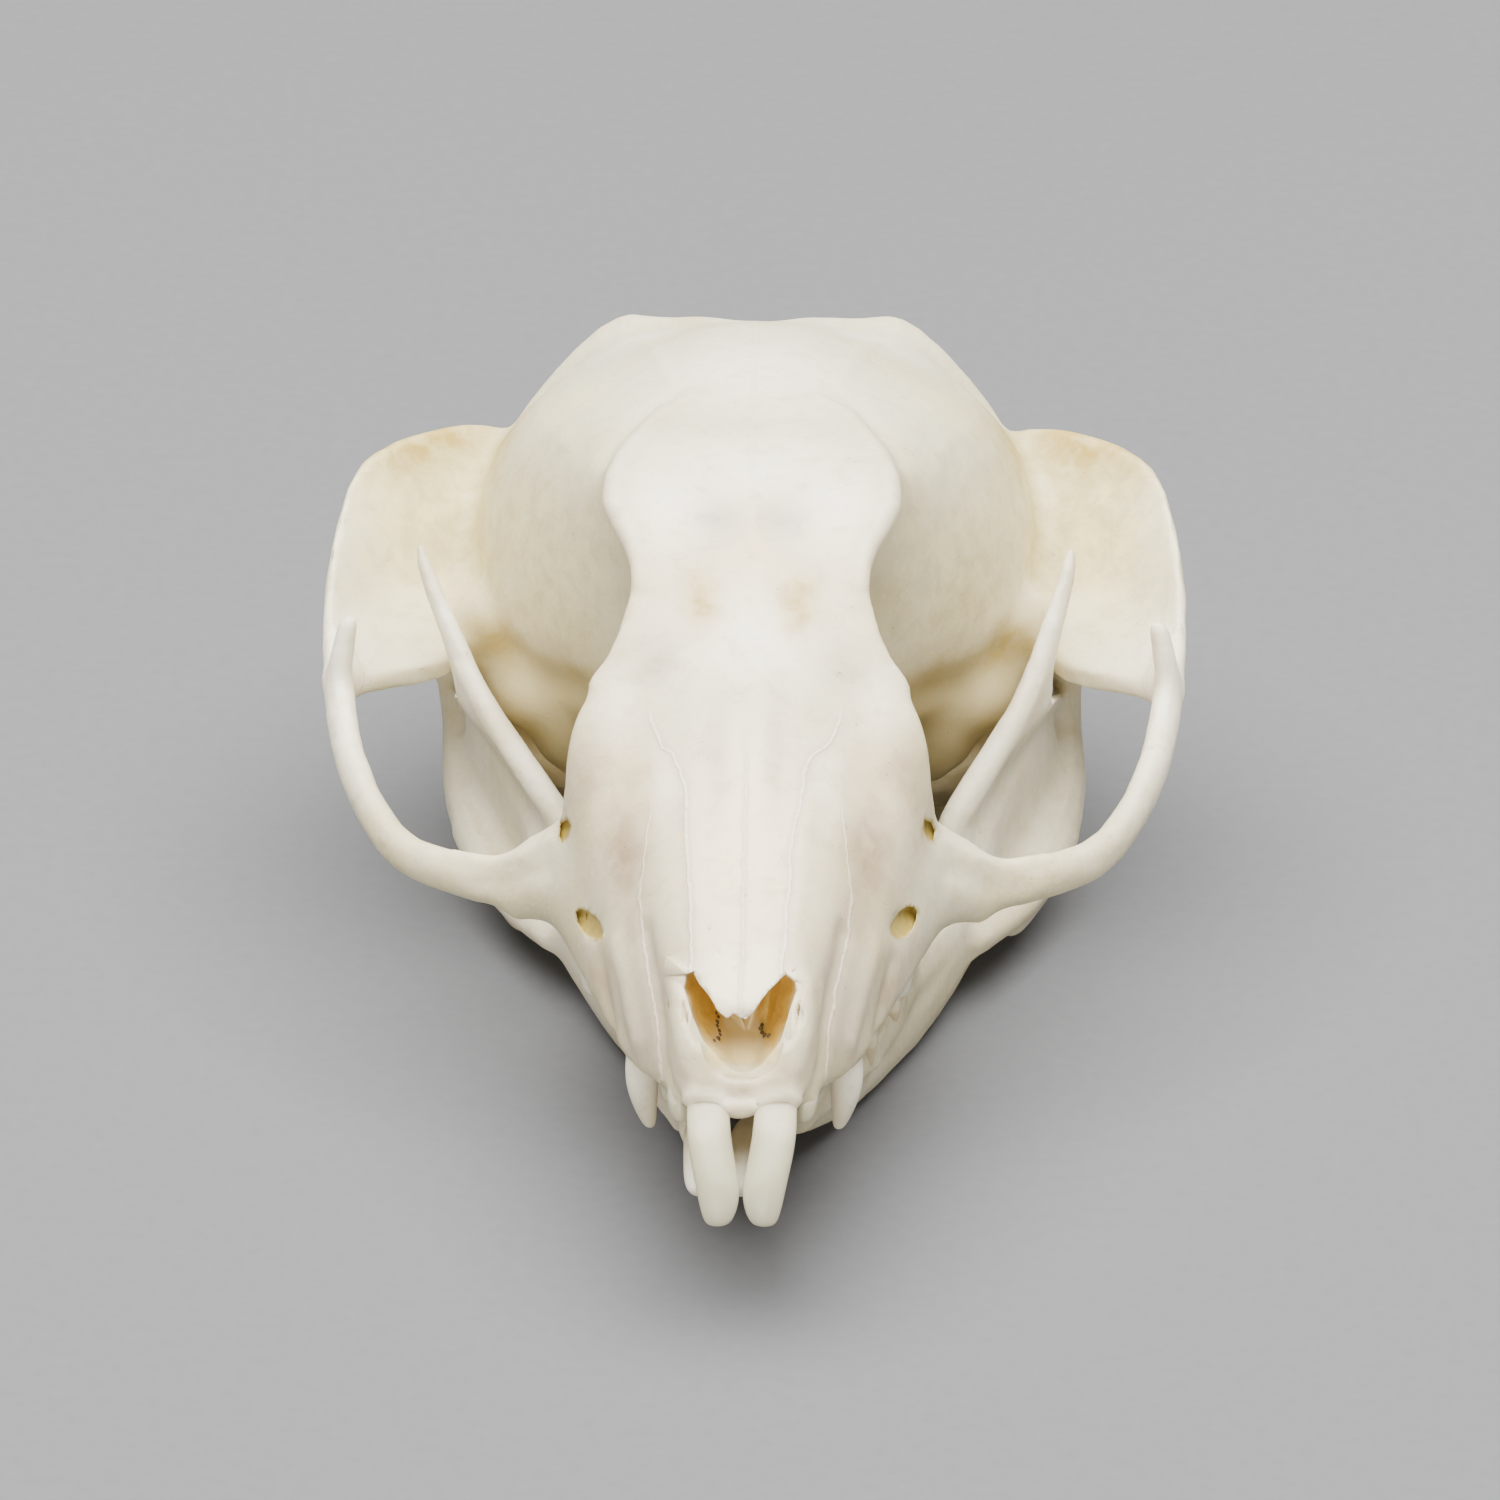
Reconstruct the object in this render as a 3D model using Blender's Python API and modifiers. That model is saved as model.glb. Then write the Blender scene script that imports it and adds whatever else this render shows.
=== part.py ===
# Sugar glider skull: the cranium resting on its own two jaw bones, life size.
# The snout points along -Y, the skull's own left is +X and +Z is up.
# Every form below is laid out in millimetres and scaled to metres at the end.
import math
import random

import bpy
import bmesh
from mathutils import Vector
from mathutils.bvhtree import BVHTree

# Driving sizes, millimetres
MM = 0.001
GAP = 0.30            # clear space between neighbouring bones
ALV = 5.30            # height of the upper tooth sockets above the floor
LOW_ALV = 3.05        # height of the lower tooth sockets above the floor
ARCH_X = 12.58        # half of the width over the cheek arches
SHEAR = -0.067        # the jaw lies rolled a little to the skull's right
SHIFT = -0.62         # and its front end lies this far to the right
VOXEL = 0.19          # grain of the blended bone surface
ROOF_CUT_Y = 12.75    # where the face ends on the roof of the skull
CUT_Z = 8.20          # height of the level part of that division
PALATE_CUT_Y = 17.40  # where the face ends on the palate
SPLIT_X = 7.00        # where the cheek bone leaves the upper jaw
SPLIT_Y = 21.60       # where the cheek bone meets the braincase
TRIS_CRANIUM = 6400
TRIS_DENTARY = 1250
random.seed(11)

for old in list(bpy.data.objects):
    bpy.data.objects.remove(old, do_unlink=True)
for old in list(bpy.data.collections):
    bpy.data.collections.remove(old)

skull = bpy.data.collections.new("sugar_glider_skull")
cutters = bpy.data.collections.new("cutters")
bpy.context.scene.collection.children.link(skull)
bpy.context.scene.collection.children.link(cutters)
cutters.hide_render = True


def new_mesh(name, verts, faces, coll):
    """A closed mesh object from computed points, faces outward."""
    bm = bmesh.new()
    vs = [bm.verts.new(v) for v in verts]
    for f in faces:
        bm.faces.new([vs[i] for i in f])
    return finish_mesh(name, bm, coll)


def curve_at(pts, t):
    """Catmull-Rom through a list of equal-length tuples, t from 0 to 1."""
    n = len(pts) - 1
    s = min(max(t, 0.0), 1.0) * n
    i = min(int(s), n - 1)
    u = s - i
    p1, p2 = pts[i], pts[i + 1]
    p0 = pts[i - 1] if i > 0 else tuple(2 * a - b for a, b in zip(p1, p2))
    p3 = pts[i + 2] if i + 2 <= n else tuple(2 * b - a for a, b in zip(p1, p2))
    out = []
    for a, b, c, d in zip(p0, p1, p2, p3):
        m1, m2 = 0.5 * (c - a), 0.5 * (d - b)
        if (c - b) * m1 < 0:
            m1 = 0.0
        if (c - b) * m2 < 0:
            m2 = 0.0
        out.append((2 * u ** 3 - 3 * u ** 2 + 1) * b + (u ** 3 - 2 * u ** 2 + u) * m1
                   + (-2 * u ** 3 + 3 * u ** 2) * c + (u ** 3 - u ** 2) * m2)
    return tuple(out)


def skin(name, rings, coll):
    """Closed skin over rings of equal length, with flat ends."""
    n = len(rings[0])
    verts = [v for ring in rings for v in ring]
    faces = []
    for r in range(len(rings) - 1):
        for i in range(n):
            a, b = r * n + i, r * n + (i + 1) % n
            faces.append((a, b, b + n, a + n))
    faces.append(tuple(range(n - 1, -1, -1)))
    last = (len(rings) - 1) * n
    faces.append(tuple(range(last, last + n)))
    return new_mesh(name, verts, faces, coll)


def loft(name, stations, coll, along=4, around=3):
    """Skin over half sections (y, [(x, z) ...]) from the crown to the base."""
    rows = [tuple([y] + [c for p in sec for c in p]) for y, sec in stations]
    rings = []
    steps = (len(rows) - 1) * along
    for k in range(steps + 1):
        row = curve_at(rows, k / steps)
        sec = [(row[1 + 2 * j], row[2 + 2 * j]) for j in range((len(row) - 1) // 2)]
        m = (len(sec) - 1) * around
        half = [curve_at(sec, j / m) for j in range(m + 1)]
        half[0] = (0.0, half[0][1])
        half[-1] = (0.0, half[-1][1])
        ring = [(x, row[0], z) for x, z in half]
        ring += [(-x, row[0], z) for x, z in half[-2:0:-1]]
        rings.append(ring)
    return skin(name, rings, coll)


def sweep(name, path, coll, side=(1, 0, 0), seg=12, along=4, power=1.0):
    """Skin along a path of (x, y, z, half width, half height)."""
    steps = (len(path) - 1) * along
    rows = [curve_at(path, k / steps) for k in range(steps + 1)]
    ref = Vector(side).normalized()
    rings = []
    for k, row in enumerate(rows):
        a = Vector(rows[max(k - 1, 0)][:3])
        b = Vector(rows[min(k + 1, steps)][:3])
        t = (b - a).normalized()
        w = (ref - ref.dot(t) * t).normalized()
        h = t.cross(w)
        ring = []
        for i in range(seg):
            ang = 2 * math.pi * i / seg
            c, s = math.cos(ang), math.sin(ang)
            c = math.copysign(abs(c) ** power, c)
            s = math.copysign(abs(s) ** power, s)
            ring.append(tuple(Vector(row[:3]) + w * c * row[3] + h * s * row[4]))
        rings.append(ring)
    return skin(name, rings, coll)


def finish_mesh(name, bm, coll):
    """Turn a bmesh into an object of triangles, faces outward."""
    bmesh.ops.triangulate(bm, faces=bm.faces[:])
    bmesh.ops.recalc_face_normals(bm, faces=bm.faces[:])
    me = bpy.data.meshes.new(name)
    bm.to_mesh(me)
    bm.free()
    ob = bpy.data.objects.new(name, me)
    coll.objects.link(ob)
    return ob


def ball(name, centre, radii, coll, seg=20, rows=10):
    """An ellipsoid from a sphere."""
    bm = bmesh.new()
    bmesh.ops.create_uvsphere(bm, u_segments=seg, v_segments=rows, radius=1.0)
    bmesh.ops.scale(bm, vec=radii, verts=bm.verts[:])
    bmesh.ops.translate(bm, vec=centre, verts=bm.verts[:])
    return finish_mesh(name, bm, coll)


def block(name, lo, hi, coll):
    """A box between two corners."""
    bm = bmesh.new()
    bmesh.ops.create_cube(bm, size=1.0)
    bmesh.ops.scale(bm, vec=[h - l for l, h in zip(lo, hi)], verts=bm.verts[:])
    bmesh.ops.translate(bm, vec=[(h + l) / 2 for l, h in zip(lo, hi)], verts=bm.verts[:])
    return finish_mesh(name, bm, coll)


def mirrored(ob, coll, name):
    """The same form on the other side of the midline."""
    verts = [(-v.co.x, v.co.y, v.co.z) for v in ob.data.vertices]
    faces = [tuple(reversed(p.vertices)) for p in ob.data.polygons]
    return new_mesh(name, verts, faces, coll)


def use(ob):
    bpy.ops.object.select_all(action='DESELECT')
    bpy.context.view_layer.objects.active = ob
    ob.select_set(True)


def keep_largest(ob):
    """Drop every closed surface but the one with the most faces."""
    bm = bmesh.new()
    bm.from_mesh(ob.data)
    seen, groups = set(), []
    for f in bm.faces:
        if f.index in seen:
            continue
        stack, grp = [f], []
        seen.add(f.index)
        while stack:
            g = stack.pop()
            grp.append(g)
            for e in g.edges:
                for h in e.link_faces:
                    if h.index not in seen:
                        seen.add(h.index)
                        stack.append(h)
        groups.append(grp)
    groups.sort(key=len, reverse=True)
    extra = [f for grp in groups[1:] for f in grp]
    if extra:
        bmesh.ops.delete(bm, geom=extra, context='FACES')
    bmesh.ops.triangulate(bm, faces=bm.faces[:])
    bm.to_mesh(ob.data)
    bm.free()
    return len(groups)


def boolean(ob, coll, how, solver='EXACT'):
    """One Boolean with every object of a collection, then drop those objects."""
    mod = ob.modifiers.new("join", 'BOOLEAN')
    mod.operation = how
    mod.operand_type = 'COLLECTION'
    mod.collection = coll
    mod.solver = solver
    use(ob)
    bpy.ops.object.modifier_apply(modifier=mod.name)
    for other in list(coll.objects):
        bpy.data.objects.remove(other, do_unlink=True)


def blend(ob, voxel, rounds, factor=0.5):
    """Melt the joined forms into one skin and relax it."""
    mod = ob.modifiers.new("grain", 'REMESH')
    mod.mode = 'VOXEL'
    mod.voxel_size = voxel
    mod.adaptivity = 0.0
    use(ob)
    bpy.ops.object.modifier_apply(modifier=mod.name)
    keep_largest(ob)
    mod = ob.modifiers.new("relax", 'SMOOTH')
    mod.factor = factor
    mod.iterations = rounds
    bpy.ops.object.modifier_apply(modifier=mod.name)


def thin_out(ob, tris):
    """Collapse edges down to a number of triangles."""
    mod = ob.modifiers.new("collapse", 'DECIMATE')
    mod.ratio = tris / sum(len(p.vertices) - 2 for p in ob.data.polygons)
    use(ob)
    bpy.ops.object.modifier_apply(modifier=mod.name)
    keep_largest(ob)


def untangle(ob, rounds=12):
    """Relax the few places where a thinned skin passes through itself."""
    for _ in range(rounds):
        bm = bmesh.new()
        bm.from_mesh(ob.data)
        bmesh.ops.dissolve_degenerate(bm, dist=0.012, edges=bm.edges[:])
        bmesh.ops.triangulate(bm, faces=bm.faces[:])
        bm.verts.ensure_lookup_table()
        bm.faces.ensure_lookup_table()
        tree = BVHTree.FromBMesh(bm, epsilon=0.0)
        bad = set()
        for a, b in tree.overlap(tree):
            if a < b:
                fa, fb = bm.faces[a], bm.faces[b]
                if not set(fa.verts) & set(fb.verts):
                    bad.update(fa.verts)
                    bad.update(fb.verts)
        for f in bm.faces:
            for e in f.edges:
                for g in e.link_faces:
                    if g != f and f.normal.dot(g.normal) < -0.82:
                        bad.update(f.verts)
                        bad.update(g.verts)
        if bad:
            ring = set(bad)
            for v in bad:
                ring.update(e.other_vert(v) for e in v.link_edges)
            bmesh.ops.smooth_vert(bm, verts=list(ring), factor=0.5,
                                  use_axis_x=True, use_axis_y=True, use_axis_z=True)
        bm.to_mesh(ob.data)
        bm.free()
        if not bad:
            return 0
    return len(bad)


def take(name):
    """A scratch collection that stays out of the picture."""
    coll = bpy.data.collections.new(name)
    cutters.children.link(coll)
    return coll


# The teeth
def cone(name, path, coll, seg=8, side=(1, 0, 0)):
    """A tooth with one cusp: a skin along (x, y, z, half width, half depth)."""
    return sweep(name, path, coll, side=side, seg=seg, along=1)


def molar(name, x, y, z, length, width, height, way, root, coll, turn=0.0):
    """A low crown with four cusps and a basin; way is -1 for upper teeth."""
    base, belly, cusps = [], [], []
    for i in range(8):
        ang = math.pi / 8 + math.pi * i / 4
        cx = math.copysign(min(abs(math.cos(ang)) * 1.18, 1.0), math.cos(ang)) * width / 2
        cy = math.copysign(min(abs(math.sin(ang)) * 1.18, 1.0), math.sin(ang)) * length / 2
        base.append((cx * 0.80, cy * 0.86, -root * way))
        belly.append((cx, cy, 0.42 * height * way))
    for i in range(8):
        ang = math.pi * i / 4
        if i % 2:
            cusps.append((math.cos(ang) * width * 0.48, math.sin(ang) * length * 0.52,
                          height * way * (0.93 + 0.14 * random.random())))
        else:
            cusps.append((math.cos(ang) * width * 0.42, math.sin(ang) * length * 0.43,
                          height * way * 0.68))
    rim = cusps[1:] + cusps[:1]
    ct, st = math.cos(turn), math.sin(turn)

    def put(p):
        return (x + p[0] * ct - p[1] * st, y + p[0] * st + p[1] * ct, z + p[2])
    ring_a = [put(p) for p in base]
    ring_b = [put(p) for p in belly]
    ring_c = [put(p) for p in rim]
    verts = ring_a + ring_b + ring_c + [put((0, 0, height * way * 0.55))]
    faces = [tuple(range(7, -1, -1))]
    for r in range(2):
        for i in range(8):
            a, b = r * 8 + i, r * 8 + (i + 1) % 8
            faces.append((a, b, b + 8, a + 8))
    faces += [(16 + i, 16 + (i + 1) % 8, 24) for i in range(8)]
    return new_mesh(name, verts, faces, coll)


# The bones of the cranium
FACE = [
    (-0.15, [(0, 7.00), (0.45, 7.00), (0.85, 6.88), (1.12, 6.70), (1.28, 6.45), (1.28, 6.10),
             (0.80, 5.85), (0, 5.90)]),
    (0.30, [(0, 8.66), (0.42, 8.62), (0.98, 8.32), (1.42, 7.75), (1.68, 7.05), (1.72, 6.30),
            (1.20, 5.80), (0, 5.92)]),
    (1.00, [(0, 9.08), (0.78, 8.98), (1.38, 8.74), (1.80, 8.10), (2.05, 7.30), (2.15, 6.30),
            (1.70, 5.62), (0, 5.90)]),
    (3.00, [(0, 9.90), (0.92, 9.75), (1.65, 9.32), (2.25, 8.45), (2.75, 7.25), (3.05, 6.10),
            (2.85, 5.25), (0, 5.70)]),
    (6.00, [(0, 11.10), (1.20, 10.85), (2.40, 10.05), (3.30, 8.85), (3.88, 7.35), (4.10, 6.10),
            (3.60, 5.20), (0, 5.60)]),
    (9.00, [(0, 12.30), (1.60, 11.97), (3.10, 11.15), (4.25, 10.00), (4.72, 8.20), (5.05, 6.40),
            (4.35, 5.25), (0, 5.60)]),
    (11.0, [(0, 13.10), (2.20, 12.80), (4.00, 12.20), (4.98, 11.38), (5.20, 9.00), (5.90, 6.85),
            (4.95, 5.35), (0, 5.60)]),
    (12.3, [(0, 13.65), (2.00, 13.45), (3.75, 12.95), (4.42, 12.30), (4.40, 9.30), (6.00, 6.90),
            (4.90, 5.45), (0, 5.60)]),
    (12.9, [(0, 13.90), (1.90, 13.75), (3.30, 13.30), (3.70, 12.50), (3.00, 9.80), (3.60, 7.10),
            (3.60, 5.40), (0, 5.65)]),
]
CASE = [
    (11.4, [(0, 13.20), (1.60, 13.00), (3.20, 12.50), (3.60, 11.60), (3.00, 9.80), (2.70, 8.20),
            (2.00, 6.60), (0, 6.10)]),
    (13.2, [(0, 14.05), (1.90, 13.98), (3.70, 13.50), (3.35, 12.50), (2.65, 10.4), (2.50, 8.20),
            (2.00, 6.60), (0, 6.10)]),
    (15.2, [(0, 14.97), (1.60, 14.97), (3.15, 14.60), (2.85, 13.60), (2.30, 11.3), (2.30, 8.60),
            (2.00, 6.60), (0, 6.10)]),
    (17.7, [(0, 15.66), (2.10, 15.78), (4.05, 15.52), (3.70, 14.50), (2.90, 12.0), (2.70, 9.20),
            (2.30, 6.90), (0, 6.10)]),
    (20.1, [(0, 16.02), (2.10, 16.12), (3.85, 15.90), (4.50, 14.30), (4.85, 11.6), (4.60, 9.00),
            (3.20, 6.90), (0, 6.05)]),
    (21.6, [(0, 16.14), (1.90, 16.18), (3.45, 15.92), (5.20, 14.50), (6.05, 11.6), (6.00, 8.60),
            (4.80, 6.50), (0, 5.95)]),
    (23.6, [(0, 16.20), (1.30, 16.20), (2.65, 16.00), (5.50, 14.70), (7.05, 11.6), (7.45, 8.20),
            (6.20, 6.20), (0, 5.85)]),
    (25.6, [(0, 16.12), (1.40, 16.02), (3.20, 15.62), (6.05, 14.15), (7.70, 11.3), (8.00, 7.90),
            (7.00, 6.10), (0, 5.80)]),
    (28.0, [(0, 15.86), (1.80, 15.70), (3.80, 15.15), (6.45, 13.60), (8.05, 11.0), (8.30, 7.80),
            (7.10, 6.05), (0, 5.80)]),
    (30.5, [(0, 15.30), (2.00, 15.12), (3.95, 14.60), (6.30, 13.10), (7.90, 10.8), (8.35, 7.90),
            (6.30, 6.10), (0, 5.80)]),
    (32.9, [(0, 14.30), (2.20, 14.18), (4.05, 13.80), (5.70, 12.50), (7.20, 10.4), (7.45, 7.80),
            (5.80, 6.10), (0, 5.80)]),
    (34.4, [(0, 13.45), (2.30, 13.45), (4.05, 13.30), (5.15, 12.20), (6.50, 10.3), (6.75, 8.00),
            (5.00, 6.20), (0, 5.90)]),
    (35.1, [(0, 12.95), (1.50, 12.85), (3.20, 12.40), (4.50, 11.20), (5.30, 9.80), (5.20, 8.00),
            (3.60, 6.40), (0, 6.10)]),
    (35.7, [(0, 11.60), (0.90, 11.45), (1.80, 11.00), (2.60, 10.2), (3.00, 9.20), (2.90, 8.20),
            (2.00, 7.20), (0, 6.90)]),
]
# The inflated root of the cheek arch: at each x a ring of (y, z), from the
# front edge over the hollow to the ridge and back below the ear and the joint
WING = [
    (6.60, [(25.0, 8.3), (27.4, 8.7), (31.2, 11.0), (31.8, 10.8), (31.4, 8.8), (29.2, 7.2),
            (26.6, 7.4), (24.6, 7.4)]),
    (8.00, [(24.2, 8.1), (26.9, 8.7), (30.9, 11.8), (31.4, 11.5), (30.4, 9.0), (28.4, 6.5),
            (26.5, 7.5), (24.0, 7.3)]),
    (9.40, [(22.9, 7.8), (26.2, 8.6), (30.1, 12.1), (30.6, 11.8), (29.5, 9.0), (28.1, 6.3),
            (26.3, 7.5), (22.9, 7.1)]),
    (10.9, [(22.2, 7.8), (25.2, 8.8), (28.7, 12.15), (29.5, 11.8), (28.7, 9.3), (27.5, 7.1),
            (25.3, 7.5), (22.2, 7.1)]),
    (11.85, [(20.8, 8.0), (24.1, 9.0), (27.4, 11.8), (28.3, 11.4), (27.6, 9.5), (26.4, 8.0),
             (24.0, 7.5), (20.9, 7.2)]),
    (12.3, [(20.6, 8.5), (23.2, 9.3), (25.8, 10.95), (26.7, 10.6), (26.2, 9.5), (25.0, 8.4),
            (23.2, 7.8), (20.8, 7.5)]),
    (ARCH_X, [(21.0, 8.4), (22.6, 8.8), (24.1, 9.7), (24.9, 9.5), (24.5, 9.0), (23.6, 8.4),
              (22.6, 8.0), (21.0, 7.8)]),
]
# Cheek bone, from its root on the upper jaw: x, y, z, half width, half height
JUGAL = [
    (4.4, 11.0, 7.2, 1.00, 1.90), (5.5, 11.5, 6.85, 1.00, 1.45), (6.6, 12.0, 6.40, 0.80, 0.98),
    (8.0, 12.8, 6.15, 0.60, 0.70), (9.7, 14.2, 6.05, 0.52, 0.66), (10.8, 16.0, 6.45, 0.48, 0.66),
    (11.58, 18.2, 7.15, 0.46, 0.72), (ARCH_X - 0.63, 20.3, 7.90, 0.46, 0.80),
    (ARCH_X - 0.58, 22.6, 8.15, 0.42, 0.70), (ARCH_X - 0.63, 24.0, 8.2, 0.35, 0.50)]


def wing(name, coll):
    rows = [tuple([x] + [c for p in sec for c in p]) for x, sec in WING]
    steps = (len(rows) - 1) * 6
    rings = []
    for k in range(steps + 1):
        row = curve_at(rows, k / steps)
        sec = [(row[1 + 2 * j], row[2 + 2 * j]) for j in range(8)]
        ring = []
        for j in range(8):
            a, b = sec[j], sec[(j + 1) % 8]
            for u in (0.0, 0.34, 0.67):
                ring.append((row[0], a[0] + (b[0] - a[0]) * u, a[1] + (b[1] - a[1]) * u))
        rings.append(ring)
    return skin(name, rings, coll)


def cranium():
    """The whole cranium as one blended skin, before it is divided."""
    raw = take("cranium_forms")
    body = loft("cranium", CASE, skull)
    loft("face", FACE, raw)
    pairs = [
        wing("wing", raw),
        sweep("jugal", JUGAL, raw, side=(1, -0.5, 0)),
        # a low process rises from the cheek bone behind the orbit
        sweep("jugal_process", [(12.05, 20.5, 7.6, 0.40, 0.80), (11.95, 20.55, 8.8, 0.38, 0.62),
                                (11.75, 20.65, 9.9, 0.36, 0.45), (11.6, 20.75, 10.5, 0.28, 0.32)],
              raw, side=(1, 0, 0)),
        # the small knob for the chewing muscle below the root of the arch
        ball("masseter_knob", (6.5, 11.6, 5.85), (0.55, 0.6, 0.55), raw, 12, 6),
        # tooth-bearing ledge of the upper jaw below the orbit
        sweep("ledge", [(3.95, 8.5, 6.1, 0.95, 0.85), (4.15, 11.0, 6.1, 1.10, 0.85),
                        (4.25, 13.5, 6.05, 1.08, 0.80),
                        (4.2, 15.5, 6.05, 0.95, 0.76), (4.0, 17.3, 6.1, 0.75, 0.70)], raw, power=0.7),
        # frame of the palate beside the openings
        sweep("palate_side", [(2.7, 11.0, 6.0, 1.0, 0.42), (2.8, 14.0, 6.0, 1.0, 0.40),
                              (2.6, 17.6, 6.0, 1.1, 0.42)],
              raw, power=0.6),
        sweep("pterygoid", [(2.25, 16.9, 6.2, 0.34, 0.6), (2.2, 18.5, 5.6, 0.32, 1.0),
                            (2.2, 20.3, 5.1, 0.30, 1.1),
                            (2.3, 21.8, 4.8, 0.30, 0.8), (2.35, 22.6, 4.5, 0.28, 0.35)], raw),
        # nuchal crest from its upper corner down to the ear
        sweep("crest", [(3.3, 34.45, 13.55, 0.40, 0.35), (4.15, 34.45, 13.45, 0.42, 0.45),
                        (5.35, 34.05, 12.45, 0.42, 0.42),
                        (6.50, 33.5, 11.25, 0.42, 0.42), (7.2, 32.8, 10.5, 0.42, 0.40),
                        (7.9, 31.8, 10.8, 0.40, 0.35), (8.5, 30.9, 11.4, 0.30, 0.30)], raw),
        sweep("brow", [(4.55, 12.1, 12.45, 0.30, 0.25), (3.62, 13.2, 13.45, 0.30, 0.25),
                       (3.05, 15.2, 14.50, 0.28, 0.25),
                       (3.4, 16.4, 15.0, 0.30, 0.25), (3.92, 17.8, 15.42, 0.32, 0.26),
                           (3.92, 18.8, 15.62, 0.32, 0.26),
                       (3.55, 20.6, 15.86, 0.3, 0.22), (2.5, 23.4, 15.95, 0.3, 0.2)], raw, seg=8),
        # swelling of the braincase floor in front of the ear bone
        ball("alisphenoid", (6.15, 25.3, 6.75), (1.80, 3.2, 2.0), raw, 20, 10),
        ball("mastoid", (8.1, 31.0, 7.6), (1.0, 1.9, 1.7), raw, 16, 8),
        ball("condyle", (2.45, 35.1, 6.1), (1.15, 1.05, 1.5), raw, 16, 8),
        sweep("paroccipital", [(5.0, 33.4, 7.0, 0.9, 0.8), (5.2, 33.5, 5.6, 0.7, 0.55),
                               (5.25, 33.4, 4.4, 0.45, 0.35)], raw),
        ball("premaxilla", (1.05, 1.2, 6.25), (0.95, 1.35, 0.75), raw, 16, 8),
        # socket swelling over the root of the canine
        sweep("canine_root", [(2.25, 3.7, 5.55, 0.55, 0.55), (2.45, 4.6, 6.4, 0.45, 0.5),
                              (2.7, 5.8, 7.3, 0.3, 0.35)], raw),
    ]
    for ob in pairs:
        mirrored(ob, raw, ob.name + "_m")
    sweep("crest_top", [(-4.2, 34.45, 13.5, 0.4, 0.4), (-2.2, 34.4, 13.45, 0.4, 0.4),
                        (0, 34.3, 13.25, 0.4, 0.4),
                        (2.2, 34.4, 13.45, 0.4, 0.4),
                            (4.2, 34.45, 13.5, 0.4, 0.4)], raw, side=(0, 1, 0))
    sweep("basicranium", [(0, 16.5, 6.4, 1.6, 0.6), (0, 20.0, 6.2, 1.5, 0.6), (0, 26.0, 5.9, 1.8, 0.6),
                          (0, 31.0, 5.9, 2.6, 0.6), (0, 34.6, 6.2, 2.4, 0.8)], raw)
    boolean(body, raw, 'UNION')
    blend(body, VOXEL, 4)
    thin_out(body, TRIS_CRANIUM)
    untangle(body)
    return body


def dig(body):
    """Open the nose, the foramina, the palate, the ears and the occiput."""
    holes = take("holes")
    # the nasal opening slants back between the nasal tips and the premaxilla
    sweep("nose", [(0, -1.4, 7.30, 0.86, 0.72), (0, 0.3, 7.50, 1.10, 0.84), (0, 1.5, 8.00, 1.30, 0.92),
                   (0, 4.0, 8.45, 1.20, 0.95), (0, 7.5, 9.3, 0.9, 0.8)], holes, seg=14, along=2)
    for s in (-1, 1):
        tag = "a" if s < 0 else "b"
        # the opening widens into a pointed corner beside the nasal tips
        sweep("cleft" + tag, [(s * 1.08, -0.9, 8.0, 0.56, 0.75), (s * 1.18, 0.5, 8.32, 0.50, 0.64),
                              (s * 1.32, 1.2, 8.72, 0.32, 0.42), (s * 1.46, 1.75, 9.08, 0.10, 0.14)],
              holes, seg=10, along=2)
        sweep("infraorbital" + tag, [(s * 4.72, 5.6, 8.22, 0.48, 0.44),
                                     (s * 4.30, 7.6, 7.40, 0.50, 0.46),
                                     (s * 3.90, 9.2, 7.00, 0.30, 0.36)], holes, seg=12, along=1)
        sweep("lacrimal" + tag, [(s * 5.50, 9.4, 9.30, 0.22, 0.38), (s * 5.12, 10.6, 8.75, 0.22, 0.38),
                                 (s * 4.80, 11.8, 8.35, 0.14, 0.28)], holes, seg=8, along=1)
        # openings of the palate and the slots behind the incisors
        sweep("vacuity" + tag, [(s * 1.30, 13.1, 5.4, 0.60, 0.9), (s * 1.45, 14.4, 5.4, 0.85, 1.0),
                                (s * 1.35, 16.4, 5.4, 0.6, 0.9)], holes, seg=10, along=2)
        sweep("slot" + tag, [(s * 0.55, 2.4, 5.5, 0.22, 0.5), (s * 0.6, 3.6, 5.4, 0.28, 0.5),
                             (s * 0.55, 4.9, 5.3, 0.22, 0.5)], holes, seg=8, along=1)
        sweep("ear" + tag, [(s * 10.6, 29.6, 6.6, 0.75, 0.75), (s * 8.0, 29.0, 6.9, 0.7, 0.7),
                            (s * 6.9, 28.7, 7.0, 0.5, 0.5)], holes, side=(0, 1, 0), seg=10, along=1)
    ball("magnum", (0, 36.2, 7.2), (1.9, 2.6, 1.75), holes, 18, 9)
    boolean(body, holes, 'DIFFERENCE')
    keep_largest(body)


def bulla(name, s, grow, coll):
    seg, rows = (22, 11) if grow else (20, 10)
    ob = ball(name, (s * 5.0, 26.0, 4.60), (2.70 + grow, 3.6 + grow, 2.40 + grow), coll, seg, rows)
    return ob


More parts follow.
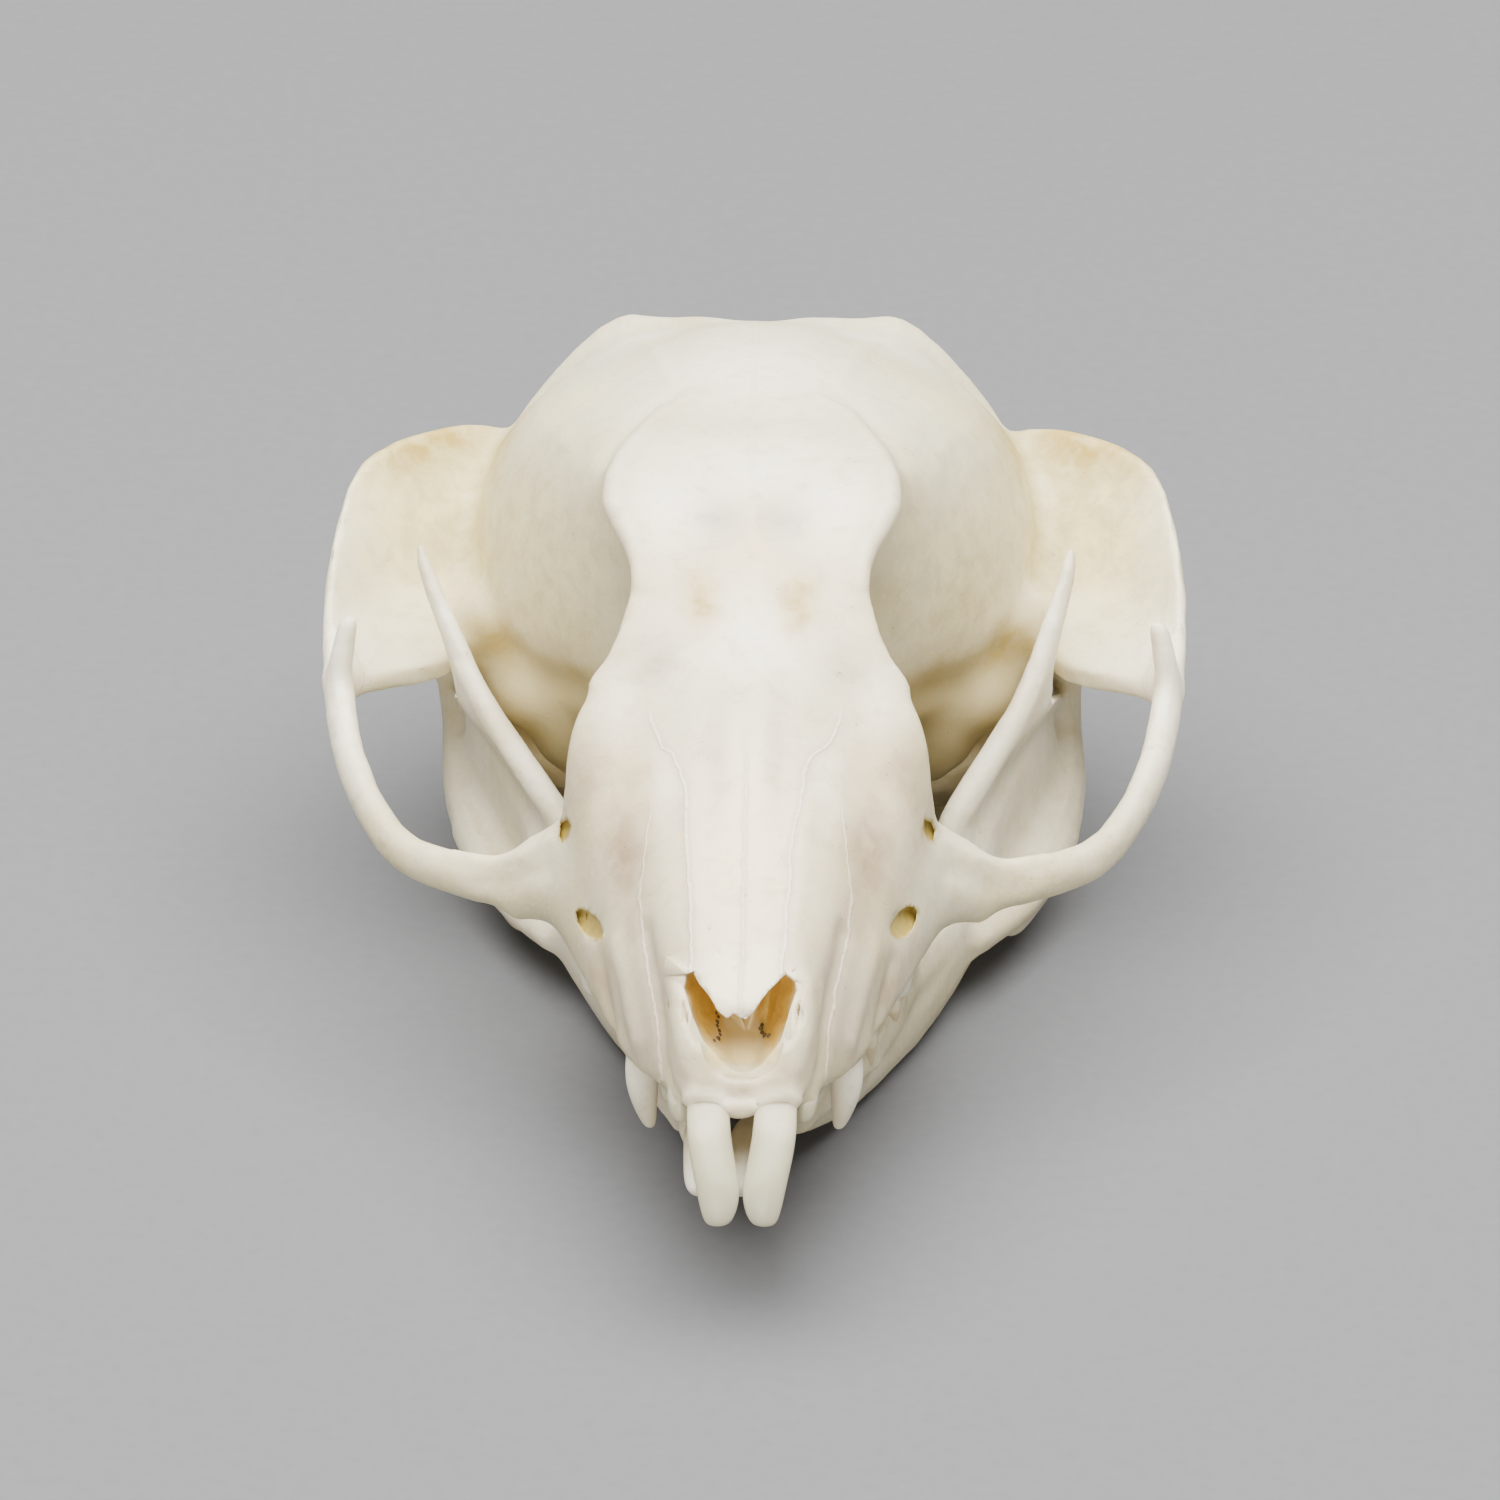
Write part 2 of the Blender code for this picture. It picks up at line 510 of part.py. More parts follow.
def divide(body):
    """Part the cranium into its named bones with thin cuts."""
    cuts = take("cuts")
    h = GAP / 2
    block("cut_roof", (-6.6, ROOF_CUT_Y - h, CUT_Z - h), (6.6, ROOF_CUT_Y + h, 17), cuts)
    block("cut_level", (-6.5, ROOF_CUT_Y - h - 0.02, CUT_Z - h - 0.01),
          (6.5, PALATE_CUT_Y + h, CUT_Z + h), cuts)
    block("cut_palate", (-6.4, PALATE_CUT_Y - h, 2.0),
          (6.4, PALATE_CUT_Y + h + 0.01, CUT_Z + h - 0.02), cuts)
    for s in (-1, 1):
        tag = "a" if s < 0 else "b"
        x0, x1 = sorted((s * (SPLIT_X - h), s * (SPLIT_X + h)))
        block("cut_root" + tag, (x0, 9.0, 3.5), (x1, 16.5, 9.5), cuts)
        x0, x1 = sorted((s * 10.2, s * 14.0))
        block("cut_arch" + tag, (x0, SPLIT_Y - h, 5.0), (x1, SPLIT_Y + h, 12.0), cuts)
        bulla("cut_bulla" + tag, s, GAP, cuts)
    boolean(body, cuts, 'DIFFERENCE')
    use(body)
    bpy.ops.object.mode_set(mode='EDIT')
    bpy.ops.mesh.select_all(action='SELECT')
    bpy.ops.mesh.separate(type='LOOSE')
    bpy.ops.object.mode_set(mode='OBJECT')
    named = {}
    for ob in [o for o in bpy.data.objects if o.type == 'MESH']:
        co = [v.co for v in ob.data.vertices]
        mid = sum(co, Vector()) / len(co)
        if mid.y > 18 and abs(mid.x) < 2:
            key = "braincase"
        elif abs(mid.x) < 2:
            key = "snout"
        else:
            key = "jugal_left" if mid.x > 0 else "jugal_right"
        if key not in named or len(named[key].data.vertices) < len(co):
            if key in named:
                bpy.data.objects.remove(named[key], do_unlink=True)
            named[key] = ob
        else:
            bpy.data.objects.remove(ob, do_unlink=True)
    for key, ob in named.items():
        ob.name = key
        ob.data.name = key
    return named


def upper_teeth(coll):
    """Three incisors, a canine, three premolars and four molars a side."""
    cheek = [("M1", 4.20, 9.95, 2.15, 1.75, 1.10), ("M2", 4.38, 12.10, 2.00, 1.90, 1.12),
             ("M3", 4.38, 14.05, 1.80, 1.85, 1.05), ("M4", 4.18, 15.75, 1.45, 1.60, 0.90)]
    for s in (-1, 1):
        tag = "_r" if s < 0 else "_l"
        j = 0.97 + 0.06 * random.random()
        cone("I1" + tag, [(s * 0.92, 1.30, 6.50, 0.45, 0.50), (s * 0.92, 0.00, 5.90, 0.60, 0.60),
                          (s * 0.87, -0.85, 5.30, 0.61, 0.56), (s * 0.74, -1.50, 4.80, 0.62, 0.46),
                          (s * 0.59, -1.92, 4.40, 0.61, 0.36), (s * 0.57, -2.18, 4.00, 0.53, 0.27),
                          (s * 0.60, -2.38, 3.50 * j, 0.38, 0.14)], coll, seg=10)
        cone("I2" + tag, [(s * 1.75, 1.25, 6.25, 0.30, 0.40), (s * 1.72, 1.0, 5.55, 0.38, 0.46),
                          (s * 1.68, 0.72, 4.98, 0.26, 0.30)], coll, seg=7)
        cone("I3" + tag, [(s * 2.0, 2.20, 6.2, 0.30, 0.38), (s * 1.98, 2.05, 5.5, 0.36, 0.42),
                          (s * 1.95, 1.85, 5.0, 0.22, 0.26)], coll, seg=7)
        cone("C" + tag, [(s * 2.72, 4.15, 6.3, 0.42, 0.50), (s * 2.82, 4.05, 5.15, 0.48, 0.56),
                         (s * 2.78, 3.95, 4.1, 0.34, 0.42),
                             (s * 2.60, 3.95, 3.00, 0.09, 0.11)], coll, seg=8)
        for nm, x, y, hw, hl, ht in (("P1", 3.15, 5.55, 0.30, 0.48, 0.95),
                                     ("P2", 3.42, 6.80, 0.32, 0.48, 0.85),
                                     ("P3", 3.74, 8.10, 0.42, 0.66, 1.15)):
            cone(nm + tag, [(s * (x - 0.05), y + 0.05, ALV + 0.9, hw, hl),
                            (s * x, y, ALV - 0.15, hw * 1.1, hl * 1.1),
                            (s * x, y, ALV - 0.6 * ht, hw * 0.75, hl * 0.72),
                            (s * (x - 0.02), y - 0.02, ALV - ht, hw * 0.2, hl * 0.16)], coll, seg=8)
        for nm, x, y, ln, wd, ht in cheek:
            molar(nm + tag, s * x, y, ALV, ln * 0.97, wd, ht, -1, 0.75, coll, turn=-s * 0.06)


def jaw(p):
    """Where a point of the jaw lies after it has settled to one side."""
    x, y, z = p
    return (x + SHEAR * (z - 7.3) + SHIFT * max(0.0, min(1.0, (11.0 - y) / 8.0)), y, z)


BODY = [
    (0.96, 3.2, 3.25, 0.62, 0.62), (1.05, 5.0, 2.95, 0.74, 0.74), (1.45, 7.0, 2.35, 0.80, 1.05),
    (2.05, 9.0, 1.95, 0.85, 1.35), (2.80, 11.5, 1.72, 0.90, 1.55), (3.85, 14.0, 1.66, 0.92, 1.68),
    (5.20, 17.0, 2.15, 0.84, 1.80), (6.50, 20.0, 3.10, 0.62, 2.00), (7.70, 22.5, 3.80, 0.48, 2.20),
    (8.45, 24.6, 4.40, 0.40, 1.90)]
# Upright blade: height, front edge x and y, rear edge x and y, half thickness
BLADE = [
    (1.0, 6.30, 18.0, 7.50, 25.4, 0.34), (2.2, 5.75, 16.3, 8.15, 25.9, 0.34),
    (3.6, 5.60, 16.8, 8.60, 26.2, 0.34), (5.0, 5.75, 17.9, 8.85, 26.3, 0.33),
    (5.8, 6.20, 18.6, 8.92, 25.4, 0.32), (6.5, 6.85, 19.4, 8.85, 23.9, 0.32),
    (7.2, 7.50, 20.3, 8.55, 22.35, 0.31), (8.4, 8.28, 21.5, 8.66, 22.45, 0.30),
    (9.9, 8.95, 22.5, 9.15, 23.2, 0.27), (10.8, 9.28, 23.0, 9.42, 23.6, 0.24),
    (11.45, 9.48, 23.5, 9.54, 23.8, 0.16)]


def blade(name, coll):
    steps = (len(BLADE) - 1) * 3
    rings = []
    for k in range(steps + 1):
        z, xa, ya, xb, yb, t = curve_at(BLADE, k / steps)
        a, b = Vector((xa, ya, z)), Vector((xb, yb, z))
        d = (b - a).normalized()
        nrm = Vector((d.y, -d.x, 0))
        ring = []
        for side in (1, -1):
            for u in (0.0, 0.04, 0.2, 0.4, 0.6, 0.8, 0.96, 1.0):
                uu = u if side > 0 else 1 - u
                if uu in (0.0, 1.0) and side < 0:
                    continue
                w = t * min(1.0, 0.0 if uu in (0.0, 1.0) else (0.75 if uu in (0.04, 0.96) else 1.0))
                ring.append(tuple(a.lerp(b, uu) + nrm * side * w))
        rings.append(ring)
    return skin(name, rings, coll)


def lower_teeth(side, coll):
    """Two incisors, three premolars and four molars in each jaw bone."""
    tag = "_r" if side < 0 else "_l"
    cone("i1" + tag, [(0.95, 4.2, 2.35, 0.42, 0.60), (0.84, 2.6, 2.85, 0.48, 0.62),
                      (0.74, 0.8, 3.35, 0.50, 0.54),
                      (0.68, -0.6, 3.72, 0.46, 0.42), (0.62, -1.45, 3.95, 0.30, 0.20)], coll, seg=10)
    cone("i2" + tag, [(1.28, 4.3, 3.0, 0.22, 0.30), (1.30, 3.9, 3.75, 0.26, 0.30),
                      (1.3, 3.6, 4.15, 0.12, 0.14)],
         coll, seg=7)
    for nm, x, y, hw, hl, ht in (("p1", 1.72, 5.35, 0.24, 0.34, 0.55),
                                 ("p2", 2.08, 6.35, 0.25, 0.38, 0.52),
                                 ("p3", 2.50, 7.50, 0.34, 0.52, 0.80)):
        cone(nm + tag, [(x, y, LOW_ALV - 0.9, hw, hl), (x, y, LOW_ALV + 0.1, hw * 1.1, hl * 1.1),
                        (x, y, LOW_ALV + ht, hw * 0.25, hl * 0.22)], coll, seg=8)
    for nm, x, y, ln, wd, ht in (("m1", 3.12, 9.30, 2.10, 1.25, 0.90),
                                 ("m2", 3.58, 11.40, 2.00, 1.35, 0.86),
                                 ("m3", 3.90, 13.35, 1.85, 1.30, 0.82),
                                     ("m4", 4.10, 15.15, 1.60, 1.15, 0.74)):
        molar(nm + tag, x, y, LOW_ALV, ln * 0.97, wd, ht, 1, 0.85, coll, turn=-0.12)


def dentary(name, s):
    """One jaw bone with its teeth, cut level where it stands on the floor."""
    raw = take(name + "_forms")
    body = sweep(name, BODY, skull, seg=16, power=0.9)
    blade("blade", raw)
    sweep("socket_ridge", [(1.7, 5.4, 2.75, 0.42, 0.50), (2.75, 8.4, 2.55, 0.58, 0.55),
                           (3.45, 11.2, 2.50, 0.66, 0.60),
                           (3.95, 14.0, 2.45, 0.68, 0.62), (4.4, 16.2, 2.50, 0.60, 0.66),
                               (5.2, 17.6, 2.7, 0.5, 0.6)],
          raw, power=0.8)
    # lower edge of the chewing-muscle hollow, running up to the joint
    sweep("shelf", [(5.9, 16.8, 2.0, 0.5, 0.55), (7.3, 19.5, 1.85, 0.6, 0.6),
                    (8.45, 22.2, 2.40, 0.62, 0.85),
                    (9.0, 24.2, 3.2, 0.50, 0.85), (9.05, 25.6, 4.6, 0.42, 0.8),
                        (9.15, 26.0, 5.8, 0.38, 0.6)], raw, seg=10)
    # thick front edge of the coronoid process
    sweep("front_edge", [(5.35, 17.0, 3.4, 0.40, 0.45), (5.50, 17.75, 5.0, 0.42, 0.45),
                         (6.10, 18.6, 5.8, 0.43, 0.46), (6.75, 19.4, 6.5, 0.42, 0.42),
                         (7.48, 20.4, 7.2, 0.40, 0.40), (8.15, 21.4, 8.1, 0.37, 0.38),
                         (8.60, 22.1, 9.1, 0.33, 0.34), (9.0, 22.6, 10.0, 0.28, 0.30),
                         (9.35, 23.2, 11.0, 0.18, 0.20)], raw, seg=10)
    # rear edge from the joint down to the angle
    sweep("rear_edge", [(9.0, 26.2, 5.8, 0.34, 0.45), (8.75, 26.25, 4.3, 0.32, 0.45),
                        (8.1, 26.1, 2.7, 0.34, 0.5),
                        (7.1, 26.0, 1.2, 0.40, 0.6)], raw, seg=10)
    ball("joint_head", (9.1, 26.15, 6.38), (1.35, 0.62, 0.55), raw, 16, 8)
    # the angle turns inward below the ear
    sweep("angle", [(7.0, 19.5, 1.5, 0.6, 0.9), (7.5, 22.4, 1.05, 0.9, 0.85),
                    (6.9, 24.8, 0.68, 1.35, 0.72),
                    (5.7, 26.8, 0.66, 1.30, 0.66), (4.4, 28.2, 0.95, 0.85, 0.50),
                        (3.7, 28.8, 1.2, 0.4, 0.35)],
          raw, side=(1, 0.6, 0))
    boolean(body, raw, 'UNION')
    for v in body.data.vertices:
        v.co = jaw((s * v.co.x, v.co.y, v.co.z))
    if s < 0:
        body.data.flip_normals()
    blend(body, 0.16, 3)
    thin_out(body, TRIS_DENTARY)
    untangle(body)
    teeth = take(name + "_teeth")
    lower_teeth(s, teeth)
    for ob in teeth.objects:
        for v in ob.data.vertices:
            v.co = jaw((s * v.co.x, v.co.y, v.co.z))
        if s < 0:
            ob.data.flip_normals()
    boolean(body, teeth, 'UNION')
    keep_largest(body)
    # level feet, the parting of the chin and the small foramen near it
    trim = take(name + "_trim")
    block("floor_trim", (-14, -6, -4), (14, 40, 0.0), trim)
    x0, x1 = (jaw((0, 3, 3))[0] - 3, jaw((0, 3, 3))[0] + GAP / 2)
    if s < 0:
        x0, x1 = (jaw((0, 3, 3))[0] - GAP / 2, jaw((0, 3, 3))[0] + 3)
    block("chin_trim", (x0, -4, -3.9), (x1, 9, 6), trim)
    sweep("mental", [(jaw((s * 2.6, 0, 2.4))[0] + s * 2.2, 7.0, 2.0, 0.28, 0.24),
                     (jaw((s * 2.6, 0, 2.4))[0] - s * 0.2, 7.6, 2.0, 0.24, 0.2)],
          trim, side=(0, 1, 0), seg=8, along=1)
    boolean(body, trim, 'DIFFERENCE')
    keep_largest(body)
    return body


whole = cranium()
dig(whole)
nodes = divide(whole)
teeth = take("upper_teeth")
upper_teeth(teeth)
boolean(nodes["snout"], teeth, 'UNION')
for node in nodes.values():
    keep_largest(node)
nodes["bulla_left"] = bulla("bulla_left", 1, 0.0, skull)
nodes["bulla_right"] = bulla("bulla_right", -1, 0.0, skull)
nodes["dentary_left"] = dentary("dentary_left", 1)
nodes["dentary_right"] = dentary("dentary_right", -1)


def bone(name, colour, rough):
    """A bone material for one node."""
    mat = bpy.data.materials.new(name)
    mat.use_nodes = True
    shader = mat.node_tree.nodes["Principled BSDF"]
    shader.inputs["Base Color"].default_value = (*colour, 1.0)
    shader.inputs["Roughness"].default_value = rough
    mat.diffuse_color = (*colour, 1.0)
    return mat


TINT = {
    "braincase": (0.80, 0.76, 0.66), "snout": (0.84, 0.79, 0.71), "jugal_left": (0.82, 0.79, 0.71),
    "jugal_right": (0.82, 0.79, 0.71), "bulla_left": (0.76, 0.68, 0.50),
        "bulla_right": (0.76, 0.68, 0.50),
    "dentary_left": (0.81, 0.78, 0.69), "dentary_right": (0.81, 0.78, 0.69)}

# Centre the skull over the origin with its feet at zero, and go to metres
co = [v.co for ob in nodes.values() for v in ob.data.vertices]
mid_x = (min(c.x for c in co) + max(c.x for c in co)) / 2
mid_y = (min(c.y for c in co) + max(c.y for c in co)) / 2
low_z = min(c.z for c in co)
for key, ob in nodes.items():
    for v in ob.data.vertices:
        v.co = Vector((v.co.x - mid_x, v.co.y - mid_y, v.co.z - low_z)) * MM
    for coll in list(ob.users_collection):
        coll.objects.unlink(ob)
    skull.objects.link(ob)
    ob.data.materials.clear()
    ob.data.materials.append(bone(key, TINT[key], 0.55))
    use(ob)
    bpy.ops.object.shade_smooth()
    ob.data.set_sharp_from_angle(angle=math.radians(50))
    print(key, len(ob.data.polygons))
print("shift", round(mid_x, 4), round(mid_y, 4), round(low_z, 4))
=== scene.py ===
# %% [markdown]
# # A sugar glider skull, from the front and a little above
# The skull of a sugar glider is 36 mm long: a bleached cranium that rests on its own two jaw
# bones. The frame holds eight plain solids. This notebook turns them into bone: it melts the
# fused bones of the cranium into one skin, opens its nose and its foramina, carves its ridges,
# grows new teeth and then paints each finish with nodes.

# %% Load the frame
import math

import bmesh
import bpy
import numpy as np
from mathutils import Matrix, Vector
from mathutils.bvhtree import BVHTree


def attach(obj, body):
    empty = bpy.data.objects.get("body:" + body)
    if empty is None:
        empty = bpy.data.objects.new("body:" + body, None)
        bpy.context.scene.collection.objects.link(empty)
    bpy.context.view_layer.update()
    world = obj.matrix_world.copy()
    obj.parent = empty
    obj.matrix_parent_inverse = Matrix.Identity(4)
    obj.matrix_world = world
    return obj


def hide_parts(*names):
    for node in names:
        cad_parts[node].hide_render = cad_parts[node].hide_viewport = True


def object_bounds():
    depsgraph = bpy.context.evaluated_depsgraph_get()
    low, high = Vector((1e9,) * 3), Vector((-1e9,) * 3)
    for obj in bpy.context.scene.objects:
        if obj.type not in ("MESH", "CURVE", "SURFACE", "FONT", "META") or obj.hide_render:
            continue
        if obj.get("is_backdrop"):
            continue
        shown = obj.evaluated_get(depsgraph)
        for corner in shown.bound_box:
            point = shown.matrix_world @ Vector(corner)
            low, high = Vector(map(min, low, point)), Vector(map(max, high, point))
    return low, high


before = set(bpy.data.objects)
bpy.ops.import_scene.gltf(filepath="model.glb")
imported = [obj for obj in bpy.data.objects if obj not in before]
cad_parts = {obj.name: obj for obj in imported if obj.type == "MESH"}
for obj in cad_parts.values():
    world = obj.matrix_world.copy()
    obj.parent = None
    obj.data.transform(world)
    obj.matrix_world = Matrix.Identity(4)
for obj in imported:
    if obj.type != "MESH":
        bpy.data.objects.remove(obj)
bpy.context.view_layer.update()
MM = 0.001
FRONT = 16.807    # the face begins this many millimetres in front of the origin
scene = bpy.context.scene
rng = np.random.default_rng(7)


def here(x, y, z):
    """A point in metres from millimetres, with y counted back from the front of the face."""
    return Vector((x, y - FRONT, z)) * MM


print("solids:", ", ".join(sorted(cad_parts)))

# %% [markdown]
# ## The camera
# A long lens far away shows a small skull without swollen teeth. A lens can be guessed from how
# much larger near things look than far ones. The height of the view, 27 degrees, follows from
# how much of the floor shows between the cheek arches.

# %% Camera
VIEW_DOWN = math.radians(27.0)
VIEW_ASIDE = math.radians(0.85)
VIEW_RANGE = 280.0
VIEW_AIM = (0.076, 9.5, 11.9)
look = Vector((-math.sin(VIEW_ASIDE) * math.cos(VIEW_DOWN),
               math.cos(VIEW_ASIDE) * math.cos(VIEW_DOWN), -math.sin(VIEW_DOWN)))
camera_data = bpy.data.cameras.new("camera")
camera_data.lens = 241.9
camera_data.sensor_width = 36
camera_data.clip_start = 0.01
camera_data.clip_end = 10
camera = bpy.data.objects.new("camera", camera_data)
camera.location = here(*VIEW_AIM) - look * VIEW_RANGE * MM
camera.rotation_euler = look.to_track_quat('-Z', 'Y').to_euler()
scene.collection.objects.link(camera)
scene.camera = camera
print("camera", [round(c, 3) for c in camera.location])

# %% [markdown]
# ## Floor and light
# The skull lies on plain pale grey paper. One wide soft light hangs right above it, so its shadow
# is dark under the jaw and fades out a few millimetres beyond the cheek arches. A low panel in
# front lights the lip and the teeth, yet hardly the floor, and the room adds a warm glow.

# %% Floor and lights
def softbox(name, place, towards, size, watts):
    data = bpy.data.lights.new(name, 'AREA')
    data.shape = 'DISK'
    data.size = size
    data.energy = watts
    lamp = bpy.data.objects.new(name, data)
    lamp.location = place
    lamp.rotation_euler = (Vector(towards) - Vector(place)).to_track_quat('-Z', 'Y').to_euler()
    scene.collection.objects.link(lamp)


def shader_of(material):
    return material.node_tree.nodes["Principled BSDF"]


bpy.ops.object.select_all(action='DESELECT')
bpy.ops.mesh.primitive_plane_add(size=3.0, location=(0, 0, 0))
floor = bpy.context.object
floor.name = "floor"
paper = bpy.data.materials.new("grey paper")
paper.use_nodes = True
shader_of(paper).inputs["Base Color"].default_value = (0.126, 0.127, 0.131, 1)
shader_of(paper).inputs["Roughness"].default_value = 0.9
floor.data.materials.append(paper)
floor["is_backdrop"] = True

room = bpy.data.worlds.new("room")
room.use_nodes = True
glow = room.node_tree.nodes["Background"].inputs
glow["Color"].default_value = (1, 0.90, 0.74, 1)
glow["Strength"].default_value = 0.31
scene.world = room
softbox("key", (0.0, -0.01, 0.36), (0, 0, 0.005), 0.56, 8.9)
softbox("front", (-0.05, -0.45, 0.07), (0, 0, 0.01), 0.20, 1.2)

# %% [markdown]
# ## Small helpers
# Operators act on whatever is selected, and loading leaves every solid selected. So each step
# first selects one object only. A modifier is applied as soon as it is added.

# %% Select, join, turn outwards, apply a modifier
def only(ob):
    if bpy.context.object and bpy.context.object.mode != 'OBJECT':
        bpy.ops.object.mode_set(mode='OBJECT')
    bpy.ops.object.select_all(action='DESELECT')
    ob.select_set(True)
    bpy.context.view_layer.objects.active = ob


def finish_with(ob, kind, **settings):
    modifier = ob.modifiers.new(kind.lower(), kind)
    for key, value in settings.items():
        setattr(modifier, key, value)
    only(ob)
    bpy.ops.object.modifier_apply(modifier=modifier.name)


def joined(obs, name):
    """All objects as one, in the place of the first."""
    only(obs[0])
    for other in obs[1:]:
        other.select_set(True)
    if len(obs) > 1:
        bpy.ops.object.join()
    bpy.context.object.name = name
    return bpy.context.object


def face_outwards():
    """Turn all faces of the active mesh outwards."""
    bpy.ops.object.mode_set(mode='EDIT')
    bpy.ops.mesh.select_all(action='SELECT')
    bpy.ops.mesh.normals_make_consistent(inside=False)
    bpy.ops.object.mode_set(mode='OBJECT')


def triangles_of(ob):
    return sum(len(p.vertices) - 2 for p in ob.data.polygons)


# %% [markdown]
# ## Copies of the solids to work on
# A solid of the frame is never changed, so each bone starts as a copy. The copy's triangles are
# loose, and merging their doubles makes one watertight skin of them.

# %% Copy solids into one mesh
def bone_copy(name, *nodes):
    copies = []
    for node in nodes:
        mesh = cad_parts[node].data.copy()
        mesh.materials.clear()
        copies.append(bpy.data.objects.new(name, mesh))
        scene.collection.objects.link(copies[-1])
    ob = joined(copies, name)
    bpy.ops.object.mode_set(mode='EDIT')
    bpy.ops.mesh.select_all(action='SELECT')
    bpy.ops.mesh.remove_doubles(threshold=0.000001)
    bpy.ops.object.mode_set(mode='OBJECT')
    return ob


def block(low, high):
    """A box to cut with, between two corners in millimetres."""
    bpy.ops.object.select_all(action='DESELECT')
    middle = [(a + b) / 2 for a, b in zip(low, high)]
    size = [b - a for a, b in zip(low, high)]
    bpy.ops.mesh.primitive_cube_add(size=MM, location=here(*middle), scale=size)
    bpy.ops.object.transform_apply()
    return bpy.context.object


def ball(place, radii, facing=None):
    """A ball at a place in metres, its radii in millimetres, the last along the way it faces."""
    bpy.ops.object.select_all(action='DESELECT')
    bpy.ops.mesh.primitive_uv_sphere_add(segments=32, ring_count=16, radius=MM, location=place)
    ob = bpy.context.object
    ob.scale = radii
    if facing is not None:
        ob.rotation_euler = facing.to_track_quat('Z', 'Y').to_euler()
    bpy.ops.object.transform_apply()
    return ob


def carve(ob, tools, how='DIFFERENCE'):
    """Boolean with each tool in turn; the tools are used up."""
    for tool in tools:
        finish_with(ob, 'BOOLEAN', object=tool, operation=how, solver='MANIFOLD')
        bpy.data.objects.remove(tool, do_unlink=True)


# %% [markdown]
# The solids carry plain teeth. They come off here, at the level of the sockets, and finer ones
# are grown later. Three boxes below the upper jaw do it: one for the cheek teeth, one below the
# premaxilla and one for the large front pair. Balls fill the sharp corners under the root of
# the wing, where the real bone curves round.

# %% Cranium without its plain teeth
UPPER_SOCKETS = 5.20
LOWER_SOCKETS = 3.17
face = bone_copy("face", "snout")
carve(face, [block((-6, 2.95, -1), (6, 17.2, UPPER_SOCKETS)),
             block((-6, -0.25, -1), (6, 3.0, 5.52)),
             block((-3, -4, -1), (3, -0.20, 6.60))])
vault = bone_copy("vault", "braincase", "jugal_left", "jugal_right")
WING_CORNERS = [((7.7, 25.0, 8.25), (1.2, 1.2, 1.1)), ((4.9, 23.4, 6.3), (1.75, 1.4, 2.8)),
                ((7.0, 24.5, 6.9), (1.1, 0.9, 1.3))]
balls = [ball(here(side * x, y, z), radii) for (x, y, z), radii in WING_CORNERS for side in (-1, 1)]
cranium = joined([vault, face] + balls, "cranium")
print("cranium copy:", len(cranium.data.polygons), "triangles")

# %% [markdown]
# ## Closing the cuts
# The solids of the cranium stand 0.3 mm apart. In a grown animal these bones have knitted
# together. Swelling the copies by a little more than half of the gap, taking one new skin
# around them all, and shrinking that skin by the same amount closes the cuts and keeps the
# rest as it was. This is the closing of image work, done on a solid. The places of the cuts are
# smoothed afterwards, by a share that each point gets from its distance to a cut.

# %% Swell, melt together and shrink again
def close_gaps(ob, reach, voxel, rounds):
    finish_with(ob, 'DISPLACE', strength=reach * MM, mid_level=0.0)
    finish_with(ob, 'REMESH', mode='VOXEL', voxel_size=voxel * MM, adaptivity=0.0)
    finish_with(ob, 'SMOOTH', factor=0.5, iterations=rounds)
    finish_with(ob, 'DISPLACE', strength=-reach * MM, mid_level=0.0)
    finish_with(ob, 'SMOOTH', factor=0.5, iterations=2)


close_gaps(cranium, reach=0.19, voxel=0.14, rounds=5)
print("cranium skin:", len(cranium.data.polygons), "faces")

# %% Smooth where the cuts were
def millimetres(ob):
    """All points of a mesh as rows of millimetres from the front of the face."""
    flat = np.empty(len(ob.data.vertices) * 3)
    ob.data.vertices.foreach_get("co", flat)
    return flat.reshape(-1, 3) / MM + (0, FRONT, 0)


def from_face(place):
    """A place in metres as millimetres from the front of the face."""
    return place / MM + Vector((0, FRONT, 0))


def gap_to(points, place):
    """Distance of each point from one place, all in millimetres."""
    return np.linalg.norm(points - np.array(place), axis=1)


def between(values, low, high, edge):
    """1 between two bounds, with a soft edge inside each."""
    return np.clip((values - low) / edge, 0, 1) * np.clip((high - values) / edge, 0, 1)


def soften(ob, where, rounds):
    """Smooth only the points where a share from 0 to 1 says so."""
    group = ob.vertex_groups.new(name="soft")
    for i in np.flatnonzero(where > 0.02):
        group.add([int(i)], float(where[i]), 'REPLACE')
    finish_with(ob, 'SMOOTH', factor=0.5, iterations=rounds, vertex_group="soft")
    ob.vertex_groups.clear()


x, y, z = millimetres(cranium).T
wide = np.abs(x)
arch_root = np.sqrt((wide - 5.5) ** 2 + (y - 10.6) ** 2 + (z - 5.7) ** 2) / 3
